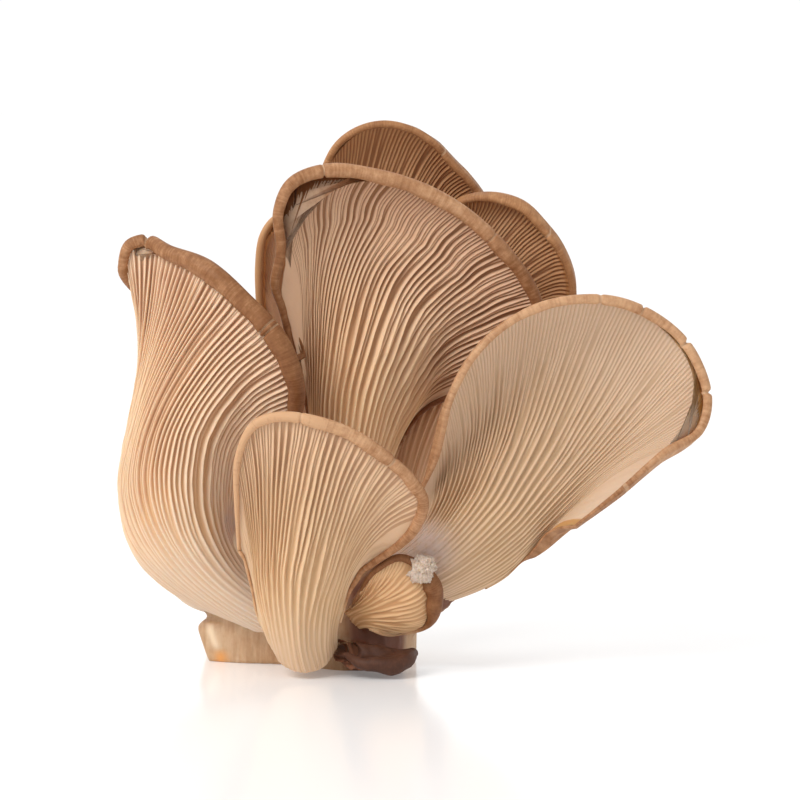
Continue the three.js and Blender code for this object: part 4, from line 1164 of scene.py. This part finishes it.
# %% Butt finish
BUTT_TONES = [(0.32, (0.32, 0.16, 0.065)), (0.45, (0.47, 0.28, 0.15)), (0.6, (0.58, 0.39, 0.24))]
BUTT_MARKS = {"pale": (0.8, 0.63, 0.44, 1), "stain": (0.72, 0.33, 0.1, 1), "dark": (0.17, 0.06, 0.03, 1)}
finish = Finish("butt flesh")
stains, grain = finish.noise(110, 5, roughness=0.65), finish.noise(900, 5, roughness=0.7)
separate = finish.node("ShaderNodeSeparateXYZ", {0: finish.node("ShaderNodeTexCoord").outputs["Object"]})
x, z = separate.outputs["X"], separate.outputs["Z"]
fibre_place = finish.vector(finish.times(x, 900), finish.times(z, 120))
fibre_noise = finish.noise(1.2, 4, fibre_place)
tone = finish.math("ADD", finish.times(stains, 0.6), finish.times(fibre_noise, 0.4))
colour = finish.ramp(tone, BUTT_TONES)
for attribute, mark in BUTT_MARKS.items():
    colour = finish.blend(finish.attribute(attribute), colour, mark)
normal = finish.bump(fibre_noise, 0.0004, 0.4, finish.bump(grain, 0.0001, 0.5))
butt_flesh = finish.surface(colour, normal, finish.stretch(grain, 0.3, 0.7, 0.45, 0.65), 0.25, 2.0)
print(f"{butt_flesh.name}: {len(BUTT_TONES)} tones, {len(BUTT_MARKS)} marks")

# %% Mycelium finish
finish = Finish("mycelium")
wool_noise = finish.noise(900, 6, roughness=0.75)
colour = finish.ramp(wool_noise, [(0.35, (0.5, 0.36, 0.26)), (0.6, (0.74, 0.6, 0.5))])
wool_finish = finish.surface(colour, finish.bump(wool_noise, 0.0004, 0.8), 0.9, 0.3, 1.0, 0.1)
print(f"{wool_finish.name}: finish made")

# %% [markdown]
# ## Dress each piece
# Every piece rides on the one body and takes its finish, and the CAD node of the same part is hidden.

# %% Dress the frame
GILL_SLOTS = {name: "gills_warm" for name in ("top", "back_right", "back_left", "small_low")}
CAP_SLOTS = {"top": "cap_warm", "back_right": "cap_warm", "back_left": "cap_warm", "small_low": "cap_dark"}
GILL_FINISHES = {"top": "warm", "back_right": "warm", "back_left": "back left, painted light", "small_side": "small",
                 "small_low": "dark"}


def dress(piece, material, node):
    piece.data.materials.clear()
    piece.data.materials.append(material)
    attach(piece, "root")
    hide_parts(node)


for name in FRUIT_BODIES:
    slot = GILL_SLOTS.get(name, "gills")
    dress(gill_pieces[name], gill_flesh[GILL_FINISHES.get(name, name)], f"gills_{name}")
    slot = CAP_SLOTS.get(name, "cap")
    dress(cap_pieces[name], cap_skin[slot], f"cap_{name}")
dress(block, butt_flesh, "butt")
dress(tuft, wool_finish, "gills_small_side")
print(f"{2 * len(FRUIT_BODIES) + 2} pieces dressed")

# %% [markdown]
# ## Floor, light and camera
# The cluster stands on a plain white sheet with a soft sheen, which glows a little, as a lit table does.
# The wall of the light tent behind it is white, and in front the tent is dimmer, so that the main soft
# light from the upper left shapes the fans. The camera looks along +Y from 1.2 m away and 6 degrees above
# the horizon, through a long lens, which is the photograph's view.

# %% Floor
FLOOR_SIZE = 6  # in metres
FLOOR_LOOK = {"Base Color": (0.9, 0.9, 0.9, 1), "Roughness": 0.16, "Specular IOR Level": 0.5,
              "Emission Color": (1, 1, 1, 1), "Emission Strength": 0.14}
bpy.ops.object.select_all(action="DESELECT")
bpy.ops.mesh.primitive_plane_add(size=FLOOR_SIZE, location=(0, 0, 0))
floor = bpy.context.object
floor.name = "floor"
finish = Finish("floor")
for socket, value in FLOOR_LOOK.items():
    finish.shader.inputs[socket].default_value = value
floor.data.materials.append(finish.material)
print(f"floor: {FLOOR_SIZE} m square")

# %% Lights and sky
world = bpy.data.worlds.new("studio")
bpy.context.scene.world = world
world.use_nodes = True
TENT_FRONT, TENT_BACK = 0.55, 1.02  # brightness of the light tent
tree = world.node_tree
direction = tree.nodes.new("ShaderNodeTexCoord")
parts = tree.nodes.new("ShaderNodeSeparateXYZ")
behind = tree.nodes.new("ShaderNodeMapRange")
for socket, value in (("From Min", -0.35), ("From Max", 0.5), ("To Min", TENT_FRONT), ("To Max", TENT_BACK)):
    behind.inputs[socket].default_value = value
tree.links.new(direction.outputs["Generated"], parts.inputs[0])
tree.links.new(parts.outputs["Y"], behind.inputs["Value"])
tree.links.new(behind.outputs[0], tree.nodes["Background"].inputs["Strength"])
tree.nodes["Background"].inputs["Color"].default_value = (1, 1, 1, 1)


def soft_light(name, place, aim, size_m, watts):
    """A round area light of size_m across at a place in metres, turned to aim."""
    data = bpy.data.lights.new(name, "AREA")
    data.shape, data.size, data.energy = "DISK", size_m, watts
    light = bpy.data.objects.new(name, data)
    light.location = place
    light.rotation_euler = (Vector(aim) - Vector(place)).to_track_quat("-Z", "Y").to_euler()
    bpy.context.scene.collection.objects.link(light)
    print(f"{name} light: {watts} W, {size_m} m across")


soft_light("key", (-0.8, -0.75, 1.0), (0, 0, 0.06), 0.9, 15)
soft_light("fill", (0.9, -0.9, 0.35), (0.02, 0, 0.06), 0.8, 1.5)

# %% Camera
CAMERA_AIM = Vector((0.020, 0, 0.0662))
CAMERA_DISTANCE = 1.2  # in metres
CAMERA_ELEVATION = math.radians(6)
camera_data = bpy.data.cameras.new("camera")
camera_data.sensor_width, camera_data.lens = 36, 216
camera = bpy.data.objects.new("camera", camera_data)
away = Vector((0, -math.cos(CAMERA_ELEVATION), math.sin(CAMERA_ELEVATION)))
camera.location = CAMERA_AIM + away * CAMERA_DISTANCE
camera.rotation_euler = (-away).to_track_quat("-Z", "Y").to_euler()
bpy.context.scene.collection.objects.link(camera)
bpy.context.scene.camera = camera
bpy.context.scene.view_settings.view_transform = "Standard"
print(f"camera: {camera_data.lens:.0f} mm lens, {CAMERA_DISTANCE} m away")
